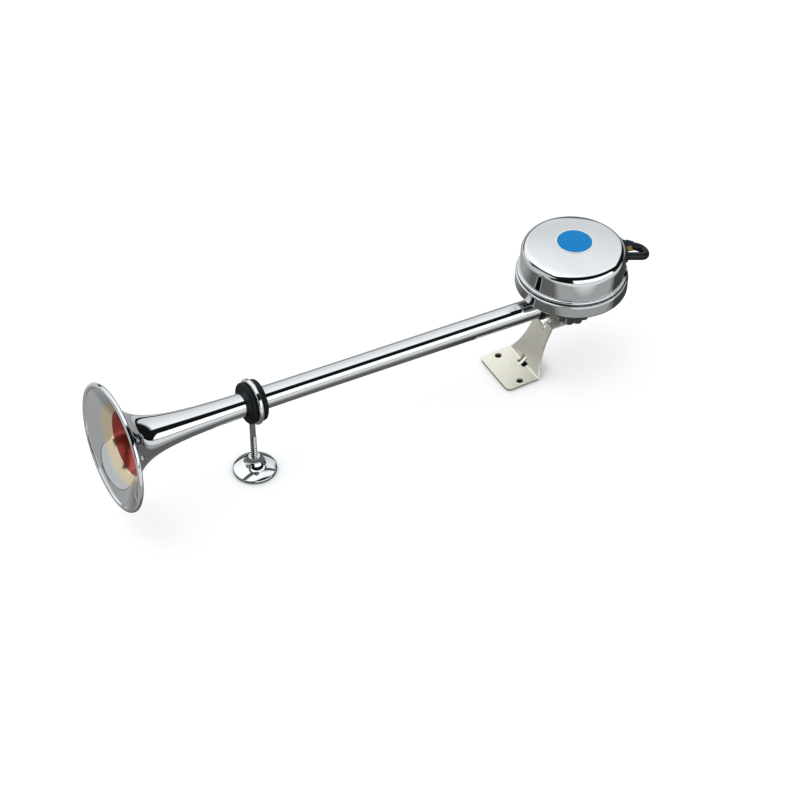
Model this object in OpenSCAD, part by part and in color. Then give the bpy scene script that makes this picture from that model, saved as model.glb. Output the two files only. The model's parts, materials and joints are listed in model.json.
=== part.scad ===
// Car horn with a long trumpet: a spun bell and tube, a cast body that turns the sound
// channel, a coil unit under a drawn cover, a folded rear bracket and a front foot.
// Millimetres. The origin is the middle of the bracket's two holes, on the mounting plane.
// +Z is up and the bell faces -X. The horn's own frame has its origin where the trumpet's
// axis meets the coil unit's axis, with x along the trumpet and z along the coil unit.

/* [Trumpet] */
// Outside diameter of the tube
tube_d = 20; // [16:0.5:22]
// Wall of the spun tube and bell
tube_wall = 1; // [0.7:0.1:1.5]
// Diameter of the bell over its rolled rim
bell_d = 117; // [100:1:130]
// Thickness of the rolled rim
bead_d = 4.6; // [3.6:0.2:6]
// Distance from the coil unit's axis to the plane of the rim
bell_reach = 456.5; // [400:0.5:520]
// Length in which the long, slow part of the flare shrinks to a third
flare_slow = 38; // [30:1:42]
// Length in which the short, steep part of the flare shrinks to a third
flare_fast = 11; // [8:1:14]
// What the slow part of the flare adds to the radius at the rim
flare_slow_gain = 18.5; // [14:0.5:22]
// Rise of the trumpet towards its bell, in degrees
rise = 3.5; // [0:0.5:5]
// Height of the trumpet's axis over the mounting plane, at the coil unit
axis_h = 61.6; // [58:0.1:72]

/* [Cast body] */
// Diameter of the sound chamber under the diaphragm, which sets the coil unit's girth
chamber_d = 73; // [66:1:84]
// Metal between the sound chamber and the flange screws
rim_land = 2.7; // [2:0.1:5]
// How far the bowl's wall stands out beyond the cover's rolled edge
bowl_step = 1.1; // [0.5:0.1:2]
// Radius of the rounded top edge of the bowl
bowl_lip = 1.4; // [0.8:0.2:2]
// Height of the casting's top face above the trumpet's axis
joint_h = 28.8; // [27:0.1:32]
// Height of the bowl's underside above the trumpet's axis
bowl_floor = 15.4; // [13:0.1:16]
// Corner radius between the bowl's wall and its underside
bowl_round = 2.5; // [1.5:0.5:4]
// Wall of the casting
cast_wall = 2.5; // [2:0.1:3.5]
// Diameter of the sound channel
channel_d = 15; // [12:0.5:16]
// Diameter of the socket that takes the tube
socket_d = 25; // [24:0.5:28]
// Distance of the socket's mouth from the coil unit's axis
socket_mouth = 33; // [30:0.5:36]
// How deep the tube stands in the socket
tube_seat = 9; // [6:0.5:11]
// Width of the rubber seal in front of the socket
seal_w = 2.5; // [1.5:0.5:4]
// Thickness of the rubber seal
seal_t = 1.2; // [0.8:0.1:2]
// Diameter of the hub where it leaves the bowl
hub_top_d = 43; // [41:1:46]
// Diameter of the hub at its seat for the bracket
hub_d = 41; // [38:0.5:41]
// Distance of the hub's seat below the trumpet's axis
hub_drop = 17.6; // [17:0.2:21]
// Number of lobes round the hub
hub_lobes = 12; // [8:1:16]

/* [Diaphragm and frame] */
// Thickness of each gasket
gasket_t = 0.5; // [0.3:0.1:0.8]
// Thickness of the diaphragm
diaphragm_t = 0.5; // [0.3:0.1:0.6]
// Thickness of the drawn steel frame
frame_t = 1.6; // [1.2:0.1:2]
// Outside diameter of the frame's cup
cup_d = 47; // [42:1:50]
// Height of the frame's cup over its flange
cup_h = 19; // [18:0.5:21]
// Number of flange screws
screw_count = 6; // [4:1:8]
// Thread diameter of the flange screws
screw_d = 4; // [3:0.5:4]
// Depth of the flange screws in the casting
screw_depth = 9; // [6:0.5:10]

/* [Magnet and contacts] */
// Diameter of the pole core
core_d = 14; // [12:0.5:15]
// Thread diameter of the pole core's neck
core_neck_d = 8; // [6:1:9]
// Diameter of the armature's disc
armature_d = 24; // [22:0.5:26]
// Thickness of the armature's disc
armature_t = 2.7; // [2:0.1:3]
// Thread diameter of the armature's stem
armature_stem_d = 6; // [5:0.5:6.5]
// Air gap between the armature and the pole core
air_gap = 0.6; // [0.4:0.1:0.9]
// Thickness of the bobbin's walls
bobbin_wall = 1; // [0.8:0.1:1.3]
// Radial space between the coil and the rim of its bobbin
coil_space = 1.3; // [0.8:0.1:2]
// Width of the contact spring
contact_w = 7; // [5:0.5:8]
// Thickness of the contact spring
contact_t = 0.4; // [0.3:0.05:0.5]
// Diameter of each contact point
point_d = 3; // [2:0.5:4]
// Height of each contact point
point_h = 0.9; // [0.7:0.1:1.2]

/* [Cover] */
// Clearance between the flange screws' heads and the cover
head_gap = 2.1; // [1:0.1:4]
// How much narrower the cover is under its top edge than at its foot
cover_taper = 0.4; // [0:0.1:2]
// How far the rolled edge stands out beyond the cover's wall
bead_out = 2.1; // [1.8:0.1:3]
// Height of the crown's middle above the trumpet's axis
crown_h = 64.5; // [62:0.1:68]
// Radius of the cover's top edge
cover_round = 9; // [6:0.5:10]
// Radius of the crown
crown_r = 160; // [110:1:240]
// Sheet thickness of the cover
cover_t = 1; // [0.7:0.1:1.2]
// Height of the rolled edge at the cover's foot
cover_bead = 3; // [2.7:0.1:3.4]
// Diameter of the round label
label_d = 34; // [28:0.2:40]
// Thickness of the label
label_t = 0.3; // [0.2:0.1:0.5]

/* [Rear lead] */
// Diameter of the sleeved lead
lead_d = 7.3; // [6:0.1:7.6]
// Distance between the lead's two ends
lead_span = 19.5; // [17:0.1:20]
// Reach of the loop beyond the cover's wall
lead_reach = 25.6; // [24:0.1:34]
// Radius of the loop's turn
lead_turn_r = 6.8; // [5.5:0.1:7]
// Height of the lead's ends above the trumpet's axis
lead_h = 46; // [43:0.1:47]
// Direction of the loop, in degrees from straight back
lead_side = 13.5; // [0:0.5:30]
// Droop of the loop, in degrees
lead_droop = 18.5; // [10:0.5:25]
// Length of the lead inside the cover
lead_inside = 6; // [4:0.5:7]
// Rubber round each end of the lead
grommet_rim = 2; // [1.5:0.1:2.4]
// How far the rubber's lips stand off the cover's wall
grommet_lip = 1.6; // [1.2:0.1:2.2]
// Width of the brass blade
blade_w = 6.3; // [4.8:0.1:6.5]
// Thickness of the brass blade
blade_t = 0.8; // [0.6:0.1:1]
// Reach of the brass blade beyond the cover's wall
blade_reach = 8; // [6:0.5:9]
// Length of the crimp sleeve on the lead
crimp_len = 6; // [4:0.5:8]
// Wall of the crimp sleeve
crimp_wall = 0.7; // [0.5:0.1:1]

/* [Bracket] */
// Sheet thickness of the bracket
sheet_t = 2.3; // [1.6:0.1:2.5]
// Width of the bracket's foot plate
plate_w = 51; // [48:0.5:56]
// Length of the foot plate in front of its holes
plate_front = 16; // [12:0.5:20]
// Distance from the holes to the corner of the lower bend
plate_rear = 16.6; // [14:0.2:18]
// Corner radius of the foot plate
plate_round = 5; // [3:0.5:8]
// Distance between the two mounting holes
hole_spacing = 39; // [34:0.5:40]
// Diameter of the mounting holes
hole_d = 6.5; // [5:0.1:7]
// Inside radius of the bends
bend_r = 2; // [1.5:0.1:3]
// Width of the bracket at its waist and its tongue
waist_w = 27; // [24:0.5:28]
// Height of the waist, as a share of the leaning web
waist_at = 0.8; // [0.7:0.05:0.9]
// Distance from the coil unit's axis back to the holes of the bracket
pu_x = 63.4; // [58:0.2:66]
// Distance of the upper bend's corner in front of the hub's axis
tongue_len = 25; // [24:0.5:28]
// Leg of the strap that is pushed out of each bend to stiffen it
strap_leg = 8; // [7:0.5:10]
// Width of the strap
strap_w = 2.4; // [2:0.1:3]
// Thickness of the strap, which is stretched as it is pushed out
strap_t = 1.6; // [1:0.1:2]
// Width of the slot on either side of the strap
slot_w = 4.2; // [3:0.1:5]
// Reach of each slot from the corner of the bend
slot_reach = 5; // [4:0.5:6]
// How much further the slot on one side reaches up the web
slot_extra = 2.5; // [0:0.5:4]
// Thread diameter of the bracket's bolt
bolt_d = 8; // [6:1:8]
// Width across flats of the bolt's head
bolt_flats = 13; // [11:0.5:14]
// Height of the bolt's head
bolt_head = 5.3; // [4:0.1:6]
// Depth of the bolt in the hub
bolt_depth = 7; // [5:0.5:7.5]
// Thickness of the spring washer
washer_t = 1.8; // [1.4:0.1:2.2]

/* [Front support] */
// Distance of the support from the coil unit's axis, along the trumpet
support_at = 323; // [250:0.5:335]
// Radius of the ring's middle line
ring_r = 18.6; // [17.8:0.1:20]
// Thickness of the ring's round bar
ring_bar = 5; // [4:0.1:5.2]
// Outside radius of the rubber grommet
rubber_r = 19; // [18:0.1:19.6]
// Thickness of each of the rubber's two lips
rubber_lip = 5.4; // [4.6:0.1:6]
// Distance between the middles of the two lips
rubber_pitch = 10.6; // [10.2:0.1:12]
// Diameter of the plain part of the shank
shank_d = 5.4; // [4.6:0.1:5.6]
// Thread diameter of the shank
thread_d = 6; // [6:0.1:7]
// Height of the thread's upper end over the mounting plane
thread_top = 41; // [30:0.5:46]
// Diameter of the foot
foot_d = 39.2; // [36:0.2:46]
// Height of the foot's straight edge
foot_edge = 2.6; // [1.5:0.1:3]
// Rise of the foot's dome over its edge
foot_dome = 6; // [4:0.5:7]
// Diameter of the foot's neck
neck_d = 9.2; // [8.8:0.1:11]
// Radius of the hollow curve between neck and dome
neck_curve = 8; // [6:0.5:9]
// Height of the collar on top of the neck
collar_h = 1.8; // [1.2:0.1:3]
// Diameter of the collar on top of the neck
collar_d = 10.8; // [10:0.1:12]
// Depth of the tapped hole under the foot
tap_depth = 6; // [5:0.5:8]
// Diameter of the tapped hole under the foot
tap_d = 5; // [4.2:0.1:5.2]
// Metal between the tapped hole and the seat of the shank
tap_roof = 1.6; // [1:0.1:2]
// Wall of the foot's hollow dome
foot_wall = 2.2; // [1.8:0.1:3]

/* [Fits] */
// Radial clearance of a part in its seat
fit = 0.02; // [0.01:0.01:0.05]
// Radial clearance of a screw in a through hole
pass = 0.2; // [0.1:0.05:0.3]

/* [Hidden] */
$fn = 64;
far = 400;
// Overlap that joins two forms of one piece
seam = 0.05;

// Trumpet
tube_r = tube_d / 2;
rim_r = (bell_d - bead_d) / 2;
flare_fast_gain = rim_r - tube_r - flare_slow_gain;
flare_len = 4 * flare_slow;
flare_steps = 36;
function slow(d) = flare_slow_gain * exp(-d / flare_slow);
function fast(d) = flare_fast_gain * exp(-d / flare_fast);
// Outside of the trumpet at a distance from the rim, and its slope there
function flare(d) = tube_r + slow(d) + fast(d);
function flare_slope(d) = -slow(d) / flare_slow - fast(d) / flare_fast;
// A point of the trumpet's wall, at a depth under its outside
function wall_point(d, depth) =
    let (s = flare_slope(d), n = norm([1, s]))
    [flare(d) - depth / n, d + depth * s / n - bell_reach];

// Heights of the clamped stack in the horn's frame
gasket_z = joint_h;
diaphragm_z = gasket_z + gasket_t;
upper_gasket_z = diaphragm_z + diaphragm_t;
frame_z = upper_gasket_z + gasket_t;
deck_z = frame_z + frame_t;
cup_roof_z = deck_z + cup_h - frame_t;

// Screws
head_r = 0.9 * screw_d;
head_h = 0.6 * screw_d;
screw_circle = chamber_d / 2 + rim_land + screw_d / 2;

// Diameters of the coil unit, from the sound chamber outwards
cover_foot_d = 2 * (screw_circle + head_r + head_gap + cover_t);
cover_top_d = cover_foot_d - cover_taper;
cover_bead_d = cover_foot_d + 2 * bead_out;
frame_d = cover_foot_d;
disc_d = cover_bead_d - cover_bead;
bowl_d = cover_bead_d + 2 * bowl_step;

// Magnet
core_flange_t = 1.2;
core_flange_r = core_d / 2 + 1.6;
armature_z = upper_gasket_z + 2.6;
core_z = armature_z + armature_t + air_gap;
bobbin_z = core_z + core_flange_t;
bobbin_r = cup_d / 2 - frame_t - 0.2;
nut_flats = 1.65 * core_neck_d;
nut_h = 0.65 * core_neck_d;
neck_above = nut_h + 2;
washer_out_d = armature_d * 0.66;
throat_rim_z = joint_h - 7;

// Contacts, on the bell's side of the cup
base_in = cup_d / 2 + 1.5;
base_out = screw_circle - head_r - 1;
base_h = armature_z + armature_t + 0.15 - deck_z;
base_w = 2 * contact_w;
spring_z = deck_z + base_h;
spring_tip = core_flange_r + 1.4;
spacer_z = spring_z + contact_t;
arm_z = spacer_z + 2 * point_h;
arm_t = 1;
point_x = base_in + 1.3 + point_d / 2;
point_gap = 0.3;
// The spacer fills the room between the points and the outer end of the base
spacer_len = base_out - point_x - point_d / 2 - point_gap;
contact_screw_d = 2.5;
contact_screw_x = base_out - spacer_len / 2;
contact_screw_y = contact_w * 0.62;
stack_w = base_w * 0.95;

// Cover
rim_bead_r = cover_bead / 2;
edge_x = cover_top_d / 2 - cover_round;
crown_z = crown_h - crown_r;
edge_z = crown_z + sqrt(pow(crown_r - cover_round, 2) - pow(edge_x, 2));

// Lead
wall_at_lead = cover_foot_d / 2
    + (cover_top_d - cover_foot_d) / 2 * (lead_h - deck_z) / (edge_z - deck_z);
turn_x = lead_reach - lead_d / 2 - lead_turn_r;
half_span = lead_span / 2;
lead_slant = acos(lead_turn_r / norm([half_span, turn_x])) - atan2(turn_x, half_span);
leg_len = sqrt(pow(norm([half_span, turn_x]), 2) - pow(lead_turn_r, 2));
crimp_at = grommet_lip + crimp_wall + 0.4;

// Bracket, as middle lines of the sheet in the row's x-z plane
bend_mid = bend_r + sheet_t / 2;
corner_low = [plate_rear, sheet_t / 2];
tongue_z = -hub_drop - sheet_t / 2;
corner_high = [
    pu_x - tongue_len * cos(rise) + tongue_z * sin(rise),
    axis_h + tongue_len * sin(rise) + tongue_z * cos(rise)
];
web_run = corner_high - corner_low;
web_angle = atan2(web_run[1], web_run[0]);
web_len = norm(web_run);
setback_low = bend_mid * tan(web_angle / 2);
setback_high = bend_mid * tan((web_angle + rise) / 2);
waist_u = waist_at * web_len;
waist_drop = (plate_w - waist_w) / 2;
bend_steps = 12;
// Height of the prisms that trim the sheet
cut_h = 5 * sheet_t;
window_half = strap_w / 2 + slot_w;
slot_y = (strap_w + slot_w) / 2;
waist_r = (pow(waist_u, 2) + pow(waist_drop, 2)) / (2 * waist_drop);

// Support
// The shank stands under the ring's lowest point
support_x = pu_x - support_at * cos(rise) - ring_r * sin(rise);
support_z = axis_h + support_at * sin(rise);
dome_r = (pow(foot_d / 2, 2) + pow(foot_dome, 2)) / (2 * foot_dome);
dome_z = foot_edge + foot_dome - dome_r;
curve_x = neck_d / 2 + neck_curve;
curve_z = dome_z + sqrt(pow(dome_r + neck_curve, 2) - pow(curve_x, 2)) - seam;
neck_top = curve_z + collar_h;
boss_r = neck_d / 2 + 1;
seat_z = tap_depth + tap_roof;

// Puts a part of the horn's own frame into place
module on_horn() {
    translate([pu_x, 0, axis_h])
        rotate([0, rise, 0])
            children();
}

// Turns a profile drawn as [radius, position along the trumpet] about the trumpet's axis
module turned_on_trumpet() {
    rotate([0, 90, 0])
        rotate_extrude()
            children();
}

module ring_profile(r_in, r_out, z, h) {
    translate([r_in, z])
        square([r_out - r_in, h]);
}

module disc(r_in, r_out, z, h) {
    rotate_extrude()
        ring_profile(r_in, r_out, z, h);
}

module rod(r, z, h) {
    translate([0, 0, z])
        cylinder(r = r, h = h);
}

module hexagon(flats, z, h) {
    translate([0, 0, z])
        cylinder(r = flats / 2 / cos(30), h = h, $fn = 6);
}

module round_the_flange() {
    for (i = [0 : screw_count - 1])
        rotate([0, 0, (i + 0.5) * 360 / screw_count])
            translate([screw_circle, 0, 0])
                children();
}

// TRUMPET
module trumpet() {
    tail = socket_mouth - tube_seat;
    straight = socket_mouth + 2 * seal_w;
    bore_r = tube_r - tube_wall;
    steps = [for (i = [0 : flare_steps]) flare_len * pow(i / flare_steps, 2)];
    outer = [for (d = steps) wall_point(d, 0)];
    inner = [for (i = [flare_steps : -1 : 0]) wall_point(steps[i], tube_wall)];
    tube_end = [[tube_r, -straight], [tube_r, -tail], [bore_r, -tail], [bore_r, -straight]];
    color("gainsboro")
        on_horn()
            turned_on_trumpet()
                union() {
                    polygon(concat(outer, tube_end, inner));
                    translate([rim_r, -bell_reach])
                        circle(d = bead_d);
                }
}

module trumpet_seal() {
    color("dimgray")
        on_horn()
            turned_on_trumpet()
                ring_profile(tube_r, tube_r + seal_t, -socket_mouth - seal_w, seal_w);
}

// CAST BODY
module bowl_profile() {
    wall_r = bowl_d / 2;
    round_x = wall_r - bowl_round;
    union() {
        translate([wall_r - bowl_lip, joint_h - bowl_lip])
            circle(r = bowl_lip);
        ring_profile(0, wall_r - bowl_lip, joint_h - 2 * bowl_lip, 2 * bowl_lip);
        ring_profile(0, wall_r, bowl_floor + bowl_round, joint_h - bowl_floor - bowl_round - bowl_lip);
        translate([round_x, bowl_floor + bowl_round])
            circle(r = bowl_round);
        ring_profile(0, round_x, bowl_floor, 2 * bowl_round);
        // Fine turned steps on the underside, and the slope into the hub
        for (i = [1 : 3])
            ring_profile(0, round_x - i * 3, bowl_floor - i * 0.3, bowl_round);
        polygon([
            [0, bowl_floor], [socket_mouth, bowl_floor],
            [hub_top_d / 2, 0.4 * bowl_floor], [0, 0.4 * bowl_floor]
        ]);
    }
}

module hub() {
    lobe_r = hub_top_d * 0.15;
    top_z = bowl_floor;
    intersection() {
        translate([0, 0, -hub_drop])
            cylinder(d1 = hub_d, d2 = hub_top_d, h = hub_drop + top_z);
        translate([0, 0, -hub_drop])
            linear_extrude(height = hub_drop + top_z)
                union() {
                    circle(r = hub_top_d / 2 - lobe_r * 0.6);
                    for (i = [0 : hub_lobes - 1])
                        rotate(i * 360 / hub_lobes)
                            translate([hub_top_d / 2 - lobe_r, 0])
                                circle(r = lobe_r * 0.72);
                }
    }
}

module channel() {
    r = channel_d / 2;
    union() {
        rod(r, 0, joint_h);
        sphere(r = r);
        rotate([0, -90, 0])
            rod(r, 0, socket_mouth);
        rotate([0, -90, 0])
            rod(tube_r + fit, socket_mouth - tube_seat, tube_seat + 1);
    }
}

module horn_body() {
    floor_z = bowl_floor + cast_wall;
    color("silver")
        on_horn()
            difference() {
                union() {
                    difference() {
                        rotate_extrude()
                            bowl_profile();
                        rod(chamber_d / 2, floor_z, joint_h);
                    }
                    hub();
                    rotate([0, -90, 0])
                        rod(socket_d / 2, 0, socket_mouth);
                    rod(channel_d / 2 + cast_wall, 0, throat_rim_z);
                }
                channel();
                rod(bolt_d / 2 + fit, -hub_drop - 1, bolt_depth + 1.5);
                round_the_flange()
                    rod(screw_d / 2 + fit, joint_h - screw_depth - 0.5, screw_depth + 1);
            }
}

// CLAMPED DISCS
module clamped_disc(r_in, z, h) {
    difference() {
        disc(r_in, disc_d / 2, z, h);
        round_the_flange()
            rod(screw_d / 2 + pass, z - 1, h + 2);
    }
}

module body_gasket() {
    color("darkslategray")
        on_horn()
            clamped_disc(chamber_d / 2, gasket_z, gasket_t);
}

module frame_gasket() {
    color("darkslategray")
        on_horn()
            clamped_disc(chamber_d / 2, upper_gasket_z, gasket_t);
}

module diaphragm() {
    color("lightsteelblue")
        on_horn()
            clamped_disc(armature_stem_d / 2 + fit, diaphragm_z, diaphragm_t);
}

// ARMATURE, on the middle of the diaphragm
module armature() {
    nut_below = 0.6 * armature_stem_d + 1.4;
    color("slategray")
        on_horn()
            union() {
                rod(armature_d / 2, armature_z, armature_t);
                rod(armature_stem_d / 2 + 2, upper_gasket_z, armature_z - upper_gasket_z);
                rod(armature_stem_d / 2, diaphragm_z - nut_below, nut_below + diaphragm_t);
            }
}

module armature_washer() {
    color("silver")
        on_horn()
            disc(armature_stem_d / 2 + fit, washer_out_d / 2, diaphragm_z - 1, 1);
}

module armature_nut() {
    h = 0.6 * armature_stem_d;
    color("goldenrod")
        on_horn()
            difference() {
                hexagon(1.65 * armature_stem_d, diaphragm_z - 1 - h, h);
                rod(armature_stem_d / 2 + fit, diaphragm_z - 2 - h, h + 2);
            }
}

// FRAME, one deep-drawn piece: flange, cup and roof
module power_frame() {
    cup_r = cup_d / 2;
    top_z = cup_roof_z + frame_t;
    color("darkgray")
        on_horn()
            difference() {
                union() {
                    disc(cup_r - frame_t, frame_d / 2, frame_z, frame_t);
                    disc(cup_r - frame_t, cup_r, frame_z, top_z - frame_z);
                    disc(core_neck_d / 2 + fit, cup_r, cup_roof_z, frame_t);
                }
                round_the_flange()
                    rod(screw_d / 2 + pass, frame_z - 1, frame_t + 2);
                // Window for the contact spring
                translate([-cup_r - 1, -contact_w / 2 - 1, deck_z])
                    cube([frame_t + 3, contact_w + 2, base_h + 3]);
                for (side = [-1, 1])
                    translate([-contact_screw_x, side * contact_screw_y, 0])
                        rod(contact_screw_d / 2 + fit, frame_z - 1, frame_t + 2);
            }
}

module flange_screws() {
    color("gray")
        on_horn()
            round_the_flange()
                difference() {
                    union() {
                        rod(screw_d / 2, joint_h - screw_depth, deck_z - joint_h + screw_depth);
                        rod(head_r, deck_z, head_h);
                    }
                    translate([-head_r, -screw_d / 10, deck_z + head_h / 2])
                        cube([2 * head_r, screw_d / 5, head_h]);
                }
}

// COIL AND CORE
module pole_core() {
    neck_z = cup_roof_z;
    color("slategray")
        on_horn()
            difference() {
                union() {
                    rod(core_flange_r, core_z, core_flange_t);
                    rod(core_d / 2, core_z, neck_z - core_z);
                    rod(core_neck_d / 2, core_z, neck_z + frame_t + neck_above - core_z);
                }
                translate([-core_neck_d / 2, -core_neck_d / 12, neck_z + frame_t + nut_h + 0.6])
                    cube([core_neck_d, core_neck_d / 6, neck_above]);
            }
}

module lock_nut() {
    z = cup_roof_z + frame_t;
    color("goldenrod")
        on_horn()
            difference() {
                hexagon(nut_flats, z, nut_h);
                rod(core_neck_d / 2 + fit, z - 1, nut_h + 2);
            }
}

module coil_bobbin() {
    color("ivory")
        on_horn()
            union() {
                disc(core_d / 2 + fit, core_d / 2 + bobbin_wall, bobbin_z, cup_roof_z - bobbin_z);
                disc(core_d / 2 + fit, bobbin_r, bobbin_z, bobbin_wall);
                disc(core_d / 2 + fit, bobbin_r, cup_roof_z - bobbin_wall, bobbin_wall);
            }
}

module coil() {
    z = bobbin_z + bobbin_wall;
    color("peru")
        on_horn()
            disc(core_d / 2 + bobbin_wall, bobbin_r - coil_space, z, cup_roof_z - bobbin_wall - z);
}

// CONTACT BREAKER, on the frame's flange
module contact_plate(x_in, x_out, width, z, h) {
    difference() {
        translate([-x_out, -width / 2, z])
            cube([x_out - x_in, width, h]);
        for (side = [-1, 1])
            translate([-contact_screw_x, side * contact_screw_y, 0])
                rod(contact_screw_d / 2 + fit, z - 1, h + 2);
    }
}

module contact_base() {
    color("saddlebrown")
        on_horn()
            contact_plate(base_in, base_out, base_w, deck_z, base_h);
}

module contact_spring() {
    color("gold")
        on_horn()
            union() {
                contact_plate(base_out - spacer_len, base_out, stack_w, spring_z, contact_t);
                translate([-base_out + spacer_len, -contact_w / 2, spring_z])
                    cube([base_out - spacer_len - spring_tip, contact_w, contact_t]);
            }
}

module contact_spacer() {
    color("saddlebrown")
        on_horn()
            contact_plate(base_out - spacer_len, base_out, stack_w, spacer_z, arm_z - spacer_z);
}

module contact_arm() {
    color("goldenrod")
        on_horn()
            union() {
                contact_plate(base_out - spacer_len, base_out, stack_w, arm_z, arm_t);
                translate([-base_out + spacer_len, -contact_w / 2, arm_z])
                    cube([base_out - spacer_len - base_in, contact_w, arm_t]);
            }
}

module spring_point() {
    color("lightgray")
        on_horn()
            translate([-point_x, 0, 0])
                rod(point_d / 2, spacer_z, point_h);
}

module arm_point() {
    color("lightgray")
        on_horn()
            translate([-point_x, 0, 0])
                rod(point_d / 2, spacer_z + point_h, point_h);
}

module contact_screws() {
    z = arm_z + arm_t;
    color("gray")
        on_horn()
            for (side = [-1, 1])
                translate([-contact_screw_x, side * contact_screw_y, 0])
                    union() {
                        rod(contact_screw_d / 2, frame_z, z - frame_z);
                        rod(contact_screw_d * 0.8, z, contact_screw_d * 0.5);
                    }
}

// COVER, a drawn cap with a crowned top and a rolled edge at its foot
module cap_profile(inset) {
    reach = crown_r / (crown_r - cover_round);
    intersection() {
        translate([0, deck_z - far])
            square([far, 2 * far]);
        union() {
            intersection() {
                translate([0, crown_z])
                    circle(r = crown_r - inset);
                polygon([
                    [0, crown_z], [edge_x * reach * 1.1, crown_z + (edge_z - crown_z) * reach * 1.1],
                    [0, crown_z + crown_r * 1.2]
                ]);
            }
            translate([edge_x, edge_z])
                circle(r = cover_round - inset);
            polygon([
                [0, deck_z], [cover_foot_d / 2 - inset, deck_z],
                [cover_top_d / 2 - inset, edge_z], [0, edge_z]
            ]);
        }
    }
}

module cap_solid(inset) {
    intersection() {
        rotate_extrude()
            cap_profile(inset);
        rod(bowl_d, deck_z, far);
    }
}

module oblong_plug(r, x_from, x_to) {
    lead_place()
        translate([x_from, 0, 0])
            rotate([90, 0, 90])
                linear_extrude(height = x_to - x_from)
                    union() {
                        for (side = [-1, 1])
                            translate([side * half_span, 0])
                                circle(r = r);
                        translate([-half_span, -r])
                            square([2 * half_span, 2 * r]);
                    }
}

module cover_shell() {
    bead_x = cover_bead_d / 2 - rim_bead_r;
    difference() {
        union() {
            difference() {
                cap_solid(0);
                cap_solid(cover_t);
            }
            disc(cover_foot_d / 2 - cover_t, bead_x, deck_z, cover_t);
            rotate_extrude()
                difference() {
                    translate([bead_x, frame_z + rim_bead_r])
                        circle(r = rim_bead_r);
                    ring_profile(0, frame_d / 2 + fit, frame_z - 1, frame_t + 1);
                }
            disc(frame_d / 2 + fit, bead_x, frame_z + rim_bead_r, rim_bead_r);
        }
        oblong_plug(lead_d / 2 + 0.8, cover_top_d / 4, far / 4);
    }
}

module cover() {
    color("gainsboro")
        on_horn()
            cover_shell();
}

module label() {
    color("dodgerblue")
        on_horn()
            intersection() {
                difference() {
                    cap_solid(-label_t);
                    cap_solid(0);
                }
                rod(label_d / 2, deck_z, far);
            }
}

// REAR LEAD, a sleeved loop that leaves the cover and goes back into it
module lead_place() {
    rotate([0, 0, -lead_side])
        translate([0, 0, lead_h])
            children();
}

module loop_place() {
    lead_place()
        translate([wall_at_lead, 0, 0])
            rotate([0, lead_droop, 0])
                children();
}

module leg(side, r, from, len) {
    loop_place()
        translate([0, side * half_span, 0])
            rotate([0, 0, -side * lead_slant])
                rotate([0, 90, 0])
                    rod(r, from, len);
}

module lead_solid() {
    union() {
        for (side = [-1, 1])
            leg(side, lead_d / 2, -lead_inside, leg_len + lead_inside + 6 * seam);
        loop_place()
            translate([turn_x, 0, 0])
                rotate([0, 0, -(90 - lead_slant)])
                    rotate_extrude(angle = 180 - 2 * lead_slant)
                        translate([lead_turn_r, 0])
                            circle(r = lead_d / 2 + seam);
    }
}

module lead() {
    color("#202428")
        on_horn()
            lead_solid();
}

module blade_solid() {
    lead_place()
        translate([wall_at_lead - lead_inside, -blade_w / 2, -blade_t / 2])
            cube([lead_inside + blade_reach, blade_w, blade_t]);
}

module blade_terminal() {
    color("gold")
        on_horn()
            blade_solid();
}

// The rubber fills the cover's oblong hole and grips its wall with a lip on either side
module lead_grommet() {
    color("#202428")
        on_horn()
            difference() {
                intersection() {
                    difference() {
                        cap_solid(-grommet_lip);
                        cap_solid(cover_t + grommet_lip);
                    }
                    oblong_plug(lead_d / 2 + grommet_rim, cover_top_d / 4, far / 4);
                }
                cover_shell();
                for (side = [-1, 1])
                    leg(side, lead_d / 2, -2 * lead_inside, leg_len);
                blade_solid();
            }
}

module crimp_sleeve() {
    color("royalblue")
        on_horn()
            difference() {
                leg(1, lead_d / 2 + crimp_wall, crimp_at + lead_d * 0.35, crimp_len);
                leg(1, lead_d / 2, 0, leg_len);
            }
}

// BRACKET, one folded sheet: foot plate, leaning web and tongue
function heading(angle) = [cos(angle), sin(angle)];
function arc(centre, r, from, to) =
    [for (i = [0 : bend_steps]) centre + r * heading(from + (to - from) * i / bend_steps)];

module on_sheet(corner, angle) {
    translate([corner[0], 0, corner[1]])
        rotate([0, -angle, 0])
            translate([0, 0, -cut_h / 2])
                linear_extrude(height = cut_h)
                    children();
}

// The strip seen from the side: one face out to the tongue, the other face back
module folded_strip() {
    low_centre = corner_low + [-setback_low, bend_mid];
    high_tangent = corner_high - setback_high * heading(web_angle);
    high_centre = high_tangent - bend_mid * heading(web_angle + 90);
    tip = corner_high + (tongue_len + waist_w / 2) * heading(-rise);
    half_t = sheet_t / 2 * heading(90 - rise);
    low_turn = web_angle - 90;
    high_turn = web_angle + 90;
    rotate([90, 0, 0])
        translate([0, 0, -plate_w / 2])
            linear_extrude(height = plate_w)
                polygon(concat(
                    [[-plate_front, sheet_t], [-plate_front, 0]],
                    arc(low_centre, bend_r + sheet_t, -90, low_turn),
                    arc(high_centre, bend_r, high_turn, 90 - rise),
                    [tip - half_t, tip + half_t],
                    arc(high_centre, bend_r + sheet_t, 90 - rise, high_turn),
                    arc(low_centre, bend_r, low_turn, -90)
                ));
}

// What the blanking tool takes off beside the web
module beside_web(side) {
    union() {
        translate([waist_u, side * (waist_w / 2 + waist_r)])
            circle(r = waist_r, $fn = 128);
        translate([waist_u, side * (waist_w + plate_w) / 2 - plate_w / 2])
            square([web_len, plate_w]);
    }
}

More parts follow.
